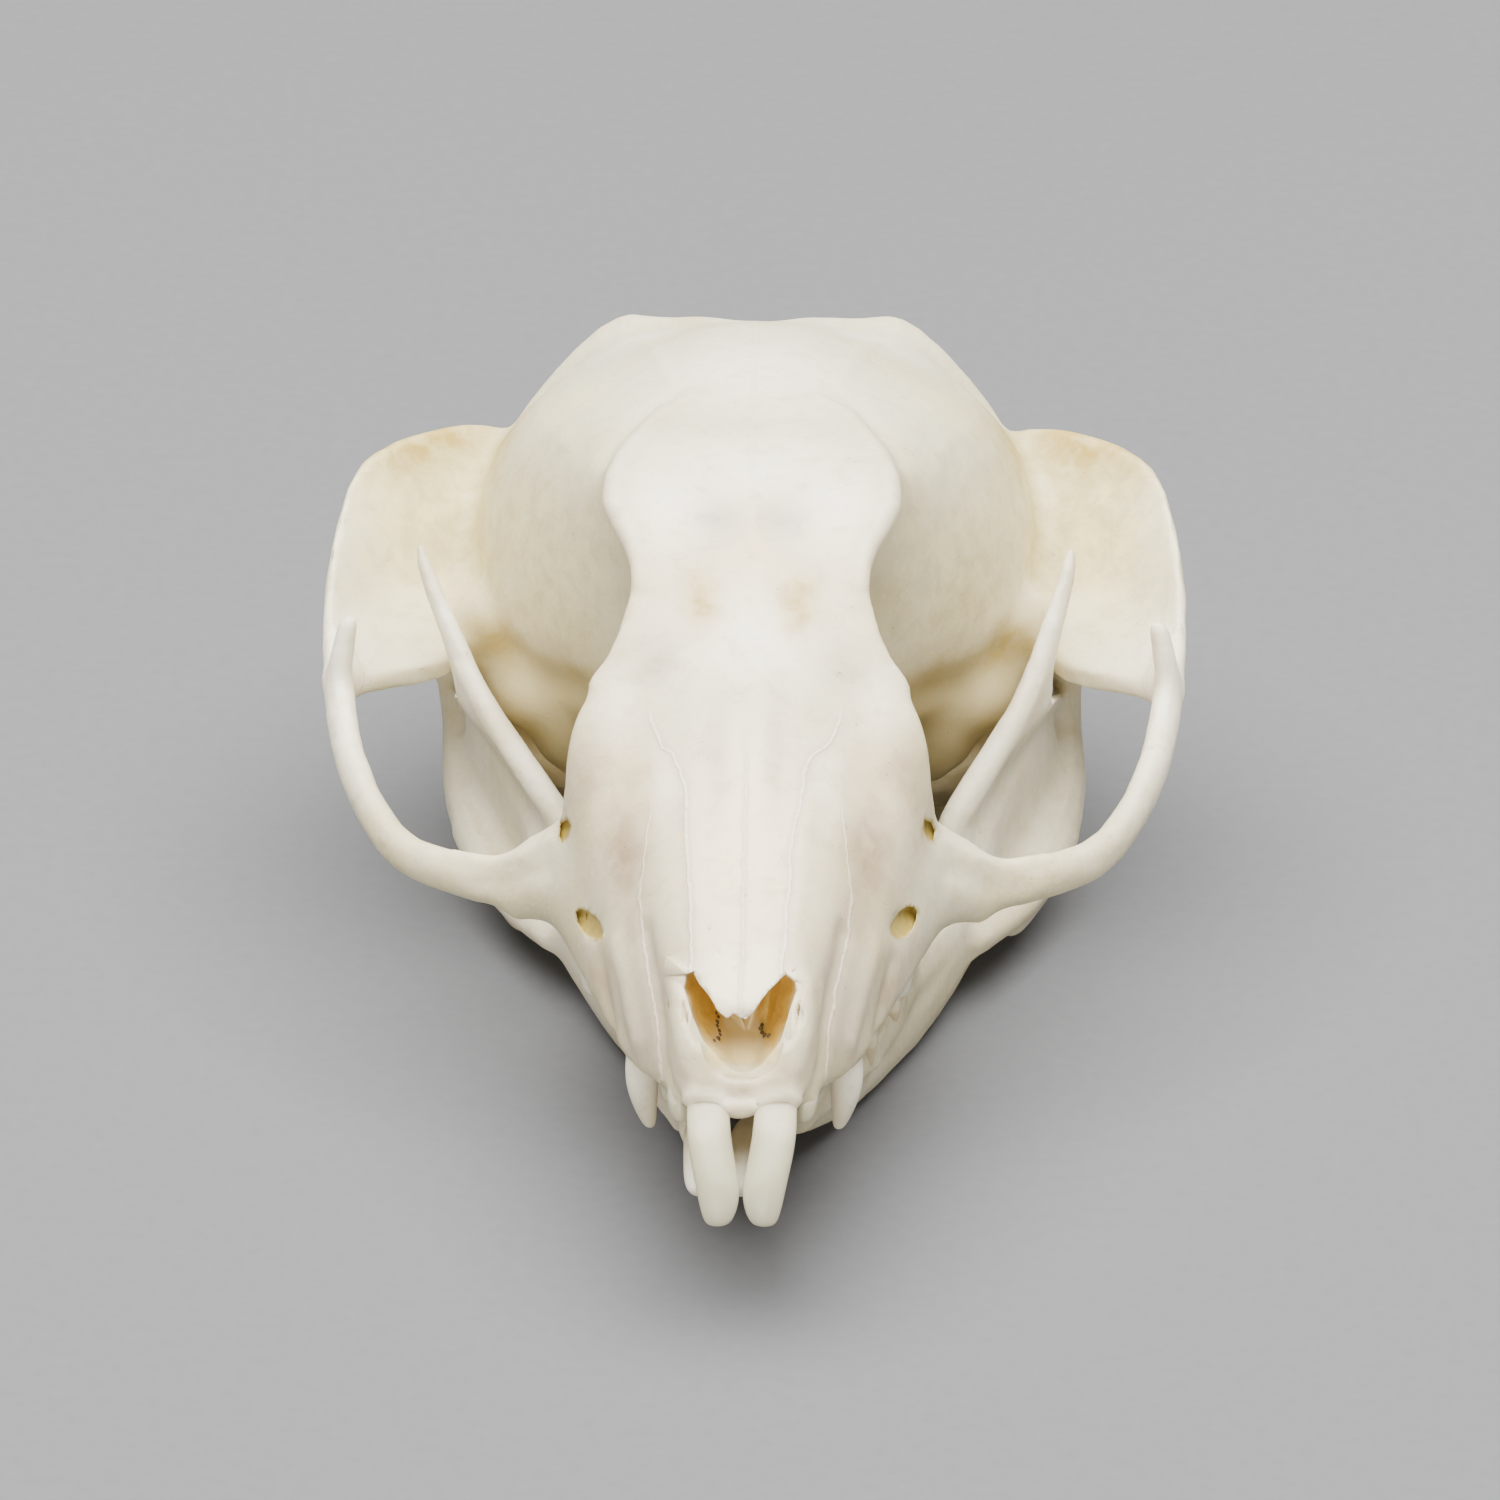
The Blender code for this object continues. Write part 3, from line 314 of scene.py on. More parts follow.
# Each closed cut: the gap of every point from it, how far it spreads, and where it runs.
CUTS = [(np.abs(y - 12.75), 0.75, (z > 7.9) & (wide < 7)),
        (np.abs(z - 8.2), 0.42, (y > 12) & (y < 18) & (wide < 7)),
        (np.abs(y - 17.4), 0.42, (z < 8.5) & (wide < 7)),
        (np.abs(wide - 7.0), 0.42, (y > 8.5) & (y < 17) & (z < 10)),
        (np.abs(y - 21.6), 0.42, (wide > 9.8) & (z < 12)),
        (arch_root, 0.42, z < 7.0)]
share = np.max([np.clip(1.7 - gap / spread, 0, 1) * inside for gap, spread, inside in CUTS], axis=0)
soften(cranium, share, 60)
x, y, z = millimetres(cranium).T
behind_orbit = between(np.abs(x), 3.0, 9.0, 0.6) * between(y, 19.4, 26.4, 0.8) * between(z, 3.6, 9.3, 0.8)
soften(cranium, behind_orbit, 45)
print(int((share > 0).sum()), "points softened")

# %% [markdown]
# ## Places read off the photograph
# The outline of the nose and the line of a suture are easiest to read off the photograph. The
# camera turns such a pixel into a line of sight, and the point where that line first meets the
# bone is the place on the bone itself, so the mark stays put when seen from any side.

# %% From a pixel to the bone
PHOTO = 1500
across = look.cross(Vector((0, 0, 1))).normalized()
upward = across.cross(look)
PIXELS_WIDE = camera_data.lens / camera_data.sensor_width * PHOTO


def sight(u, v):
    """Direction of the line of sight through a pixel."""
    return look + across * ((u - PHOTO / 2) / PIXELS_WIDE) + upward * ((PHOTO / 2 - v) / PIXELS_WIDE)


def seen_at(u, v, y):
    """The point of that line of sight at a depth y, in millimetres from the front of the face."""
    line = sight(u, v)
    way = ((y - FRONT) * MM - camera.location.y) / line.y
    return camera.location + line * way


def on_bone(ob, u, v):
    """Where the line of sight meets a bone, and the bone's normal there."""
    hit, place, normal, _ = ob.ray_cast(camera.location, sight(u, v).normalized())
    return (place, normal) if hit else (None, None)


print("the middle of the picture meets the bone at",
      [round(c, 2) for c in (on_bone(cranium, 750, 750)[0] - here(0, 0, 0)) / MM])

# %% [markdown]
# ## Opening the nose
# The nasal bones end in two small points over a wide opening. Its outline is read off the
# photograph, once round, and drawn out along the lines of sight into a plug. Dried skin still
# spans the inside, so the cavity of the solid is filled first, with a convex hull and a ball, and
# the plug narrows fast: its walls become the skin at the sides, and its end the paler floor.

# %% The outline of the nose, point by point
NOSE_RIM = [(686, 973), (682, 988), (692, 1018), (703, 1041), (715, 1063), (726, 1075), (740, 1079),
            (754, 1076), (765, 1069), (776, 1053), (783, 1035), (791, 1009), (798, 991), (796, 981)]
NASAL_TIPS = [(790, 974), (780, 982), (768, 991), (761, 1000), (753, 1012), (746, 1019), (740, 1017),
              (734, 1013), (727, 1018), (720, 1013), (713, 1005), (704, 994), (696, 985), (690, 975)]
LIP_ROW = 1083
LIP_COLUMNS = (722, 733, 745, 757, 768)
NOSE_MIDDLE = 747     # pixel column
NOSE_CENTRE = 1025    # pixel row
NOSE_DEPTH = 3.4      # how far back the dried skin lies, in millimetres
NOSE_FLOOR = 6.72     # how high its floor lies
NARROWING = 0.47      # how wide the far end of the plug is, as a share of its outline
FILLING = 1.32        # how far the filling reaches beyond the outline


def finer(points, cuts):
    """The same closed outline with each side cut into equal parts."""
    found = []
    for (u0, v0), (u1, v1) in zip(points, points[1:] + points[:1]):
        found += [(u0 + (u1 - u0) * k / cuts, v0 + (v1 - v0) * k / cuts) for k in range(cuts)]
    return found


outline = finer(NOSE_RIM + NASAL_TIPS, 3)
nasal_from = len(NOSE_RIM) * 3
print("the outline of the nose has", len(outline), "points")

# %% [markdown]
# Two skins are made from rings of points: a hull for the filling and a plug for the cut. How deep
# each ring lies differs round the opening. The nasals hang over, and the rim below them leans
# back.

# %% Hull, plug and depths
def rim_depth(v):
    """The opening leans back: the depth of its plane at the height of a pixel."""
    return -0.75 + (1079 - v) * 0.0205


def nasal_depth(v):
    """The nasals hang over: the depth of their lower edge at the height of a pixel."""
    return 0.3 + (1019 - v) * 0.021


def as_object(mesh):
    bmesh.ops.recalc_face_normals(mesh, faces=mesh.faces)
    data = bpy.data.meshes.new("tool")
    mesh.to_mesh(data)
    mesh.free()
    ob = bpy.data.objects.new("tool", data)
    scene.collection.objects.link(ob)
    return ob


def hull(points):
    """The convex skin round some points."""
    mesh = bmesh.new()
    for p in points:
        mesh.verts.new(p)
    found = bmesh.ops.convex_hull(mesh, input=mesh.verts)
    spare = set(found["geom_interior"] + found["geom_unused"])
    bmesh.ops.delete(mesh, geom=[v for v in spare if isinstance(v, bmesh.types.BMVert)], context='VERTS')
    return as_object(mesh)


def plug(rings):
    """A closed skin over rings of equal length."""
    mesh = bmesh.new()
    rows = [[mesh.verts.new(p) for p in ring] for ring in rings]
    for row in (rows[0], rows[-1]):
        mesh.faces.new(row)
    for near, far in zip(rows, rows[1:]):
        for i, a in enumerate(near):
            j = (i + 1) % len(near)
            mesh.faces.new((a, near[j], far[j], far[i]))
    return as_object(mesh)


def seen_at_height(u, v, z):
    """The point of the line of sight at a height z, in millimetres."""
    line = sight(u, v)
    return camera.location + line * ((z * MM - camera.location.z) / line.z)


def floor_point(u, v):
    """Where the line of sight meets the floor of the nose, or its back wall."""
    low = seen_at_height(u, v, NOSE_FLOOR)
    far = seen_at(u, v, NOSE_DEPTH)
    return low if low.y < far.y else far


def bone_depth(u, v, least, freedom=1):
    """Just behind the bone that a pixel shows, yet near the plane of the opening."""
    place, _ = on_bone(cranium, u, v)
    shown = place.y / MM + FRONT if place else least
    return float(np.clip(shown + 0.12, least, least + 0.9 * freedom))


print("the rim leans back from", round(rim_depth(1079), 2), "to", round(rim_depth(975), 2), "mm")

# %% [markdown]
# The lip of the opening is softened before the cut, because the plug leaves a sharp edge there
# that would carry every bump of the bone along it.

# %% Fill the cavity and cut the opening
lip = [from_face(on_bone(cranium, u, LIP_ROW)[0]) for u in LIP_COLUMNS]
lip_gap = np.min([gap_to(millimetres(cranium), place) for place in lip], axis=0)
soften(cranium, np.clip(1.6 - lip_gap / 0.45, 0, 1), 25)
starts, ends, wider, behind = [], [], [], []
for i, (u, v) in enumerate(outline):
    under_nasals = i >= nasal_from - 2
    if under_nasals:
        starts.append(seen_at(u, v, nasal_depth(v)))
    else:
        freedom = np.clip((1056 - v) / 40, 0.05, 1)    # none at the lip
        starts.append(seen_at(u, v, bone_depth(u, v, rim_depth(v) + 0.1, freedom)))
    low_end = 1030 + (v - 1030) * 0.84 if v > 1030 else v - 12
    ends.append(floor_point(NOSE_MIDDLE + (u - NOSE_MIDDLE) * NARROWING, low_end))
    grow = 1.0 if under_nasals else FILLING
    u, v = NOSE_MIDDLE + (u - NOSE_MIDDLE) * grow, NOSE_CENTRE + (v - NOSE_CENTRE) * grow
    inner = nasal_depth(v) + 0.25 if under_nasals else bone_depth(u, v, rim_depth(v) + 0.3)
    wider.append(seen_at(u, v, inner))
    behind.append(seen_at(NOSE_MIDDLE + (u - NOSE_MIDDLE) * 0.9, v * 0.85 + 152, 4.4))
carve(cranium, [hull(wider + behind)], 'UNION')
rings = [[seen_at(u, v, -1.3) for u, v in outline]]
for step in range(9):
    t = step / 8
    rings.append([a + (b - a) * t for a, b in zip(starts, ends)])
middle = floor_point(NOSE_MIDDLE, 1032)
for share in (0.8, 0.55, 0.3, 0.1):
    rings.append([middle + (p - middle) * share for p in ends])
nose_plug = plug(rings)
nose_walls = BVHTree.FromObject(nose_plug, bpy.context.evaluated_depsgraph_get())
carve(cranium, [ball(here(0, 3.0, 7.95), (1.7, 2.9, 1.35))], 'UNION')
carve(cranium, [nose_plug])
print("nose opened,", len(cranium.data.polygons), "faces")

# %% [markdown]
# ## Holes for nerves and tears
# A foramen is a short canal for a nerve or a vessel. The ones of the face and of the tear ducts
# are still spanned by dried skin, just behind the rim, so these canals are filled first and then
# opened again to that depth, along outlines read off the photograph. Slots behind the incisors
# and pairs in the base are drilled with tapered pins.

# %% Open the small canals again
def pin(start, end, wide, high, taper=0.6):
    """A tapered oval pin between two points in millimetres."""
    a, b = here(*start), here(*end)
    bpy.ops.object.select_all(action='DESELECT')
    bpy.ops.mesh.primitive_cone_add(vertices=24, radius1=wide * MM, radius2=wide * taper * MM,
                                    depth=(b - a).length, location=(a + b) / 2)
    tool = bpy.context.object
    tool.rotation_euler = (b - a).to_track_quat('Z', 'Y').to_euler()
    tool.scale.y = high / wide
    bpy.ops.object.transform_apply()
    return tool


LEFT_CANAL = [(576, 912), (580, 909), (586, 911), (594, 916), (599, 922), (602, 930), (602, 937),
              (597, 939), (590, 936), (583, 931), (578, 922)]
RIGHT_CANAL = [(891, 927), (894, 920), (900, 912), (907, 907), (914, 907), (917, 911), (916, 920),
               (912, 929), (905, 936), (897, 938), (892, 934)]
LEFT_TEAR = [(561, 822), (568, 819), (571, 826), (568, 836), (562, 842), (559, 836)]
RIGHT_TEAR = [(924, 819), (931, 821), (935, 831), (933, 841), (927, 838), (923, 829)]
SKIN_DEPTH = 0.10    # millimetres under the rim


def under(u, v, place, out, depth):
    """Where the line of sight meets a plane so many millimetres under a place on the bone."""
    line = sight(u, v)
    return camera.location + line * ((place - out * depth * MM - camera.location).dot(out) / line.dot(out))


CANALS = [(LEFT_CANAL, 18, 0.62), (RIGHT_CANAL, 18, 0.62), (LEFT_TEAR, 9, 0.36), (RIGHT_TEAR, 9, 0.36)]
TURNS = [k * math.tau / 12 for k in range(12)]
canals = []
skin_middles = []
for canal, wide, radius in CANALS:
    u0, v0 = (sum(c) / len(canal) for c in zip(*canal))
    around = [on_bone(cranium, u0 + wide * math.cos(t), v0 + wide * 1.2 * math.sin(t)) for t in TURNS]
    around = [(p, n) for p, n in around if p]
    centre = Vector(np.median([tuple(p) for p, n in around], axis=0))
    around = [(p, n) for p, n in around if (p - centre).length < 1.5 * radius * MM]
    middle = sum((p for p, n in around), Vector()) / len(around)
    out = sum((n for p, n in around), Vector()).normalized()
    print("canal near", [round(c, 2) for c in middle / MM], "facing", [round(c, 2) for c in out])
    canals.append((canal, middle, out))
    radii = (radius * 2.0, radius * 2.0, radius * 0.9)
    carve(cranium, [ball(middle - out * (radius * 0.9 + 0.03) * MM, radii, out)], 'UNION')
    skin_middles.append((from_face(middle), radius))
points = millimetres(cranium)
near_canals = np.zeros(len(points))
for place, radius in skin_middles:
    near_canals = np.maximum(near_canals, np.clip(2.4 - gap_to(points, place) / radius, 0, 1))
soften(cranium, near_canals, 40)
for canal, middle, out in canals:
    rings = [[under(u, v, middle, out, depth) for u, v in finer(canal, 2)]
             for depth in (-1.0, -0.3, SKIN_DEPTH)]
    centre = sum(rings[-1], Vector()) / len(rings[-1])
    rings += [[centre + (p - centre) * share - out * ((1 - share ** 2) * 0.06 * MM) for p in rings[-1]]
              for share in (0.8, 0.6, 0.4, 0.2, 0.05)]
    carve(cranium, [plug(rings)])

print(len(canals), "canals,", len(cranium.data.polygons), "faces")

# %% [markdown]
# A small web of bone joins the sockets of the first incisors. The drilled pairs are, from the
# front: the slots behind the incisors, the windows of the palate, three pairs along the base,
# the pair beside the condyles and, last, the canals of the optic nerves. The solver leaves large
# flat faces with many corners, which the strokes to come would bend, so these are cut up.

# %% The web between the sockets, and the drilled pairs
web = seen_at(739, 1104, 0.10)
carve(cranium, [ball(web, (0.62, 0.46, 0.40), Vector((0, 0, 1)))], 'UNION')
soften(cranium, np.clip(2.2 - gap_to(millimetres(cranium), from_face(web)) / 0.5, 0, 1), 12)
DRILLS = [((0.60, 2.3, 5.0), (0.62, 2.6, 6.4), 0.24, 0.62, 0.8),
          ((1.5, 14.6, 5.1), (1.5, 14.6, 6.6), 0.62, 1.15, 0.85),
          ((1.1, 18.9, 4.9), (1.1, 19.3, 6.6), 0.28, 0.40),
          ((2.6, 24.3, 5.0), (2.8, 24.0, 6.9), 0.30, 0.46),
          ((2.9, 29.8, 5.2), (3.0, 29.6, 6.8), 0.38, 0.55),
          ((3.5, 33.0, 5.4), (3.2, 32.6, 7.0), 0.22, 0.26),
          ((2.6, 16.6, 8.3), (1.6, 17.6, 8.6), 0.40, 0.55)]
carve(cranium, [pin((side * a[0], *a[1:]), (side * b[0], *b[1:]), *shape)
                for side in (-1, 1) for a, b, *shape in DRILLS])
finish_with(cranium, 'TRIANGULATE', min_vertices=5)
print("openings drilled,", len(cranium.data.polygons), "faces")

# %% [markdown]
# ## Ridges and hollows
# Muscles and roots of teeth model the surface: a ridge over the root of the canine, a furrow in
# front of it, a sharp edge along the root of the cheek arch, dimples on the forehead. A path is
# laid over the bone, and each point near it moves along its own normal by an amount that dies
# away with the distance, which is what a sculpting brush does.

# %% Brush strokes along paths
def normals_of(ob):
    flat = np.empty(len(ob.data.vertices) * 3, dtype=np.float32)
    ob.data.vertex_normals.foreach_get("vector", flat)
    return flat.reshape(-1, 3)


def set_millimetres(ob, points):
    ob.data.vertices.foreach_set("co", ((points - (0, FRONT, 0)) * MM).ravel())
    ob.data.update()


def distance_to(points, path):
    """Distance in millimetres of each point from a path of straight steps."""
    best = np.full(len(points), 1e9)
    for a, b in zip(path, path[1:]):
        a, b = np.array(a), np.array(b)
        along = np.clip(((points - a) @ (b - a)) / ((b - a) @ (b - a)), 0, 1)
        best = np.minimum(best, np.linalg.norm(points - a - along[:, None] * (b - a), axis=1))
    return best


def fade(low, high, values):
    """0 below low, 1 above high, smooth between."""
    t = np.clip((values - low) / (high - low), 0, 1)
    return t * t * (3 - 2 * t)


def both_sides(path):
    return [path, [(-x, y, z) for x, y, z in path]]


def stroke(ob, paths, width, height):
    """Raise (or with a negative height lower) the bone along each path."""
    points, normals = millimetres(ob), normals_of(ob)
    rise = np.zeros(len(points))
    for path in paths:
        push = np.exp(-(distance_to(points, path) / width) ** 2)
        rise = np.maximum(rise, push)
    set_millimetres(ob, points + normals * (rise * height)[:, None])


def path_on(ob, pixels):
    """A path in millimetres over the bone, through pixels of the photograph."""
    found = [on_bone(ob, u, v)[0] for u, v in pixels]
    return [tuple(from_face(p)) for p in found if p]


# %% [markdown]
# The strokes of the face are read off the right of the photograph and mirrored. Widths and
# heights are in millimetres. Most are a tenth or two high; the dimples are three tenths deep.

# %% Strokes on the cranium
FACE_STROKES = [
    ("ridge beside the nose", [(808, 985), (809, 1010), (801, 1045), (790, 1078)], 0.42, 0.10),
    ("furrow before the canine root", [(846, 935), (834, 985), (826, 1030), (821, 1072)], 0.36, -0.17),
    ("ridge over the canine root", [(874, 950), (862, 990), (855, 1020), (850, 1042)], 0.44, 0.15),
    ("furrow behind the canine root", [(893, 965), (884, 1000), (878, 1028)], 0.38, -0.12),
    ("hollow of the cheek", [(868, 800), (872, 850), (866, 890)], 1.10, -0.14),
    ("edge of the nasal bones", [(806, 800), (800, 850), (797, 900), (792, 945)], 0.35, 0.05),
    ("rim of the orbit", [(911, 712), (922, 745), (928, 790), (934, 822)], 0.30, 0.07),
    ("sharp edge of the arch root", [(945, 842), (975, 858), (1010, 864), (1045, 858)], 0.22, 0.12),
    ("hollow below that edge", [(952, 872), (985, 886), (1020, 888)], 0.34, -0.09),
    ("dimple of the forehead", [(790, 505), (788, 528)], 0.85, -0.30),
    ("edge above the orbit", [(858, 585), (866, 545), (888, 505), (888, 475), (868, 440), (842, 414),
                              (815, 400)], 0.34, 0.20),
    ("furrow outside that edge", [(845, 398), (880, 430), (902, 460)], 0.45, -0.16),
    ("furrow within that edge", [(800, 455), (845, 470), (860, 500)], 0.6, -0.05),
    ("socket of the first incisor", [(798, 1100), (788, 1094), (770, 1098), (755, 1106)], 0.20, 0.13),
    ("furrow between the sockets", [(741, 1112), (741, 1096)], 0.20, -0.10),
]
face_paths = [path_on(cranium, pixels) for _, pixels, _, _ in FACE_STROKES]
for (name, _, width, height), path in zip(FACE_STROKES, face_paths):
    stroke(cranium, both_sides(path), width, height)
    print(name, "over", len(path), "points")

BODY_STROKES = [
    ("recess below the braincase", [(5.2, 21.2, 7.8), (6.2, 22.2, 7.6), (7.0, 23.2, 7.8)], 0.9, -0.40),
    ("line between the nasal bones", [(0, 1.0, 9.1), (0, 6.0, 11.1), (0, 11.5, 13.3)], 0.22, -0.045),
    ("line of the temple", [(3.1, 21.6, 16.0), (2.4, 25.0, 16.1), (3.0, 29.0, 15.2), (3.6, 31.6, 14.4)],
     0.28, 0.07),
    ("hollow of the wing", [(9.2, 26.6, 9.3), (10.6, 25.8, 9.3)], 1.2, -0.10),
    ("hollow of the occiput", [(2.2, 34.9, 11.2), (4.2, 34.2, 10.0)], 0.9, -0.16),
    ("keel of the occiput", [(0, 35.6, 12.4), (0, 35.9, 10.2)], 0.35, 0.14),
    ("furrow along the base", [(1.3, 20.0, 5.7), (1.5, 25.0, 5.4), (1.9, 30.0, 5.3)], 0.40, -0.14),
    ("keel of the base", [(0, 18.0, 5.7), (0, 24.0, 5.4), (0, 30.0, 5.3)], 0.30, 0.08),
    ("ridge of the palate", [(0, 4.0, 5.7), (0, 12.0, 5.6), (0, 16.8, 5.6)], 0.22, 0.07),
]
for _, path, width, height in BODY_STROKES:
    stroke(cranium, both_sides(path), width, height)
print(len(BODY_STROKES), "strokes behind the face")

# %% [markdown]
# Old bone is never smooth over a whole millimetre. A cloud texture in a Displace modifier adds
# that slow unevenness, a few hundredths of a millimetre deep. The two corners of the crown come
# down a little, as they lie in the photograph. The skin then has far more triangles than its flat
# stretches need, and a Decimate modifier takes those out first.

# %% Unevenness and a lighter mesh
CRANIUM_TRIANGLES = 192000
JAW_TRIANGLES = 90000
SMALL_TRIANGLES = 60000
CROWN_DROP = 0.19


def unevenness(ob, size, depth):
    cloud = bpy.data.textures.new("cloud", 'CLOUDS')
    cloud.noise_scale = size * MM
    finish_with(ob, 'DISPLACE', texture=cloud, texture_coords='GLOBAL', strength=depth * MM,
                mid_level=0.5)


def lighten(ob, most):
    triangles = triangles_of(ob)
    if triangles > most:
        finish_with(ob, 'DECIMATE', ratio=most / triangles)
    only(ob)
    bpy.ops.object.shade_smooth()
    print(ob.name, triangles, "triangles, now", triangles_of(ob))


points = millimetres(cranium)
wide, back, high = np.abs(points[:, 0]), points[:, 1], points[:, 2]
points[:, 2] -= CROWN_DROP * fade(1.2, 3.2, wide) * fade(25, 29, back) * fade(12.5, 14.5, high)
set_millimetres(cranium, points)
unevenness(cranium, 1.7, 0.05)
unevenness(cranium, 0.5, 0.016)
lighten(cranium, CRANIUM_TRIANGLES)

# %% [markdown]
# ## The jaw bones
# Each half of the mandible is a copy of its solid with the plain crowns cut off. The same closing
# rounds the join of blade and body, and two places are softened more: the blunt front end and the
# corner below the blade. On the real bone the chewing muscles leave a wide hollow on the outside
# of the blade, with a raised edge in front of it and below it.

# %% Jaw bones without teeth, with the hollow of the chewing muscle
JAW_ROLL = -0.067        # millimetres aside for each millimetre up
JAW_ROLL_HEIGHT = 7.3    # the height that stays where it is
JAW_SHIFT = -0.62        # how far the front of the jaw lies aside


def settled(x, y, z):
    """Where a point of the jaw lies: it has come to rest a little to the right."""
    return (x + JAW_ROLL * (z - JAW_ROLL_HEIGHT) + JAW_SHIFT * min(1.0, max(0.0, (11.0 - y) / 8.0)), y, z)


JAW_STROKES = [
    ("hollow of the chewing muscle", [(7.7, 19.9, 3.6), (8.3, 22.2, 4.6), (8.6, 23.2, 5.6)], 1.15, -0.16),
    ("edge before the hollow", [(5.7, 17.4, 3.6), (6.1, 18.3, 5.4), (7.3, 19.9, 7.1), (8.7, 22.0, 9.6)],
     0.30, 0.07),
    ("edge below the hollow", [(6.3, 17.2, 2.0), (7.9, 19.6, 1.9), (8.9, 22.4, 2.5)], 0.34, 0.10),
    ("hollow of the inner side", [(6.3, 20.2, 3.0), (7.0, 22.8, 3.4)], 0.9, -0.12),
    ("swelling over the incisor root", [(1.5, 4.4, 2.2), (2.3, 8.0, 1.5), (3.2, 11.0, 1.2)], 0.55, 0.06),
    ("furrow below the cheek teeth", [(2.9, 9.0, 2.1), (4.4, 13.0, 1.9), (5.1, 15.6, 2.1)], 0.35, -0.08),
]
CHIN_HOLE = (868, 1045)
jaws = []
for side, node in ((1, "dentary_left"), (-1, "dentary_right")):
    jaw = bone_copy(node + "_bone", node)
    carve(jaw, [block((-9, 4.95, LOWER_SOCKETS), (9, 16.1, 6)), block((-4, -4, -1), (4, 3.1, 6)),
                block((-4, 3.05, 3.75), (4, 4.96, 6))])
    close_gaps(jaw, 0.10, 0.12, 4)
    x, y, z = millimetres(jaw).T
    blunt_end = np.clip((6.0 - y) / 1.8, 0, 1)
    corner_below = np.clip(1.9 - np.abs(y - 20.2) / 0.9, 0, 1) * np.clip(2.2 - z, 0, 1)
    soften(jaw, np.maximum(blunt_end, corner_below), 55)
    if side == 1:
        mouth = from_face(on_bone(jaw, *CHIN_HOLE)[0])
        mouth.x -= settled(0, mouth.y, mouth.z)[0]
        print("hole of the chin", [round(c, 2) for c in mouth])
    x, y, z = side * mouth.x, mouth.y, mouth.z
    chin = [settled(x + side * 0.5, y - 0.5, z + 0.2), settled(x - side * 0.6, y + 0.7, z - 0.2)]
    inner = [settled(side * 6.1, 20.4, 3.1), settled(side * 6.9, 21.2, 3.0)]
    carve(jaw, [pin(*chin, 0.19, 0.22, 0.7), pin(*inner, 0.22, 0.3, 0.7)])
    for _, path, width, height in JAW_STROKES:
        stroke(jaw, [[settled(side * x, y, z) for x, y, z in path]], width, height)
    unevenness(jaw, 1.1, 0.035)
    lighten(jaw, JAW_TRIANGLES)
    jaws.append(jaw)
print("jaw bones:", [ob.name for ob in jaws])

# %% [markdown]
# ## The ear capsules
# Under the braincase sit two blown-up capsules of very thin bone, which hold the ear. Each has an
# opening to the outside with a raised ring around it, and low swellings where the wall is in one
# with the bones around it.

# %% Ear capsules with their openings
EAR_RING = [(6.75 + 0.12 * math.cos(a), 25.1 + 0.95 * math.cos(a), 5.55 + 0.75 * math.sin(a))
            for a in [k * math.tau / 12 for k in range(13)]]
EAR_STROKES = [
    ("ring round the opening", EAR_RING, 0.24, 0.10),
    ("swelling of the underside", [(3.4, 23.2, 3.6), (4.6, 25.6, 2.2), (4.9, 28.2, 2.9)], 0.8, 0.04),
    ("furrow of the outer side", [(5.9, 23.4, 3.9), (6.5, 26.0, 3.0), (6.2, 28.6, 3.7)], 0.25, -0.06),
]
ears = []
for side, node in ((1, "bulla_left"), (-1, "bulla_right")):
    ear = bone_copy(node + "_bone", node)
    finish_with(ear, 'REMESH', mode='VOXEL', voxel_size=0.12 * MM, adaptivity=0.0)
    finish_with(ear, 'SMOOTH', factor=0.5, iterations=6)
    for _, path, width, height in EAR_STROKES:
        stroke(ear, [[(side * x, y, z) for x, y, z in path]], width, height)
    carve(ear, [pin((side * 7.9, 24.9, 5.7), (side * 5.3, 25.4, 5.2), 0.62, 0.50, 0.85)])
    unevenness(ear, 1.3, 0.04)
    lighten(ear, SMALL_TRIANGLES)
    ears.append(ear)
print("ear capsules:", [ob.name for ob in ears])

# %% [markdown]
# ## Growing the teeth
# A tooth starts as a disc deep in its socket. The disc is extruded from station to station, and
# scaled to the width and depth the tooth has there. A Subdivision Surface modifier rounds the
# result. Every tooth is made once, on the left, and mirrored to the other side.

# %% Extrude a tooth from a disc
def grow_tooth(name, stations, lying=False, sides=14):
    """Stations: centre x, y, z, half width and half depth, all in millimetres."""
    x, y, z, wide, deep = stations[0]
    bpy.ops.object.select_all(action='DESELECT')
    turn = (math.pi / 2, 0, 0) if lying else (0, 0, 0)
    bpy.ops.mesh.primitive_circle_add(vertices=sides, radius=MM, fill_type='NGON',
                                      location=here(x, y, z), rotation=turn)
    tooth = bpy.context.object
    tooth.name = name
    bpy.ops.object.transform_apply()
    bpy.ops.object.mode_set(mode='EDIT')
    bpy.ops.mesh.select_all(action='SELECT')

    def resize(across, along, centre):
        value = (across, 1, along) if lying else (across, along, 1)
        bpy.ops.transform.resize(value=value, center_override=here(*centre))

    resize(wide, deep, (x, y, z))
    for x1, y1, z1, wide1, deep1 in stations[1:]:
        step = here(x1, y1, z1) - here(x, y, z)
        bpy.ops.mesh.extrude_region_move(TRANSFORM_OT_translate={"value": step})
        resize(wide1 / wide, deep1 / deep, (x1, y1, z1))
        x, y, z, wide, deep = x1, y1, z1, wide1, deep1
    face_outwards()
    finish_with(tooth, 'SUBSURF', levels=2)
    return tooth


# %% [markdown]
# Enamel changes its shade from the root to the tip, so each point keeps how near it is to the
# root. Single teeth are then gathered to one piece, and real ones never stand quite in line.

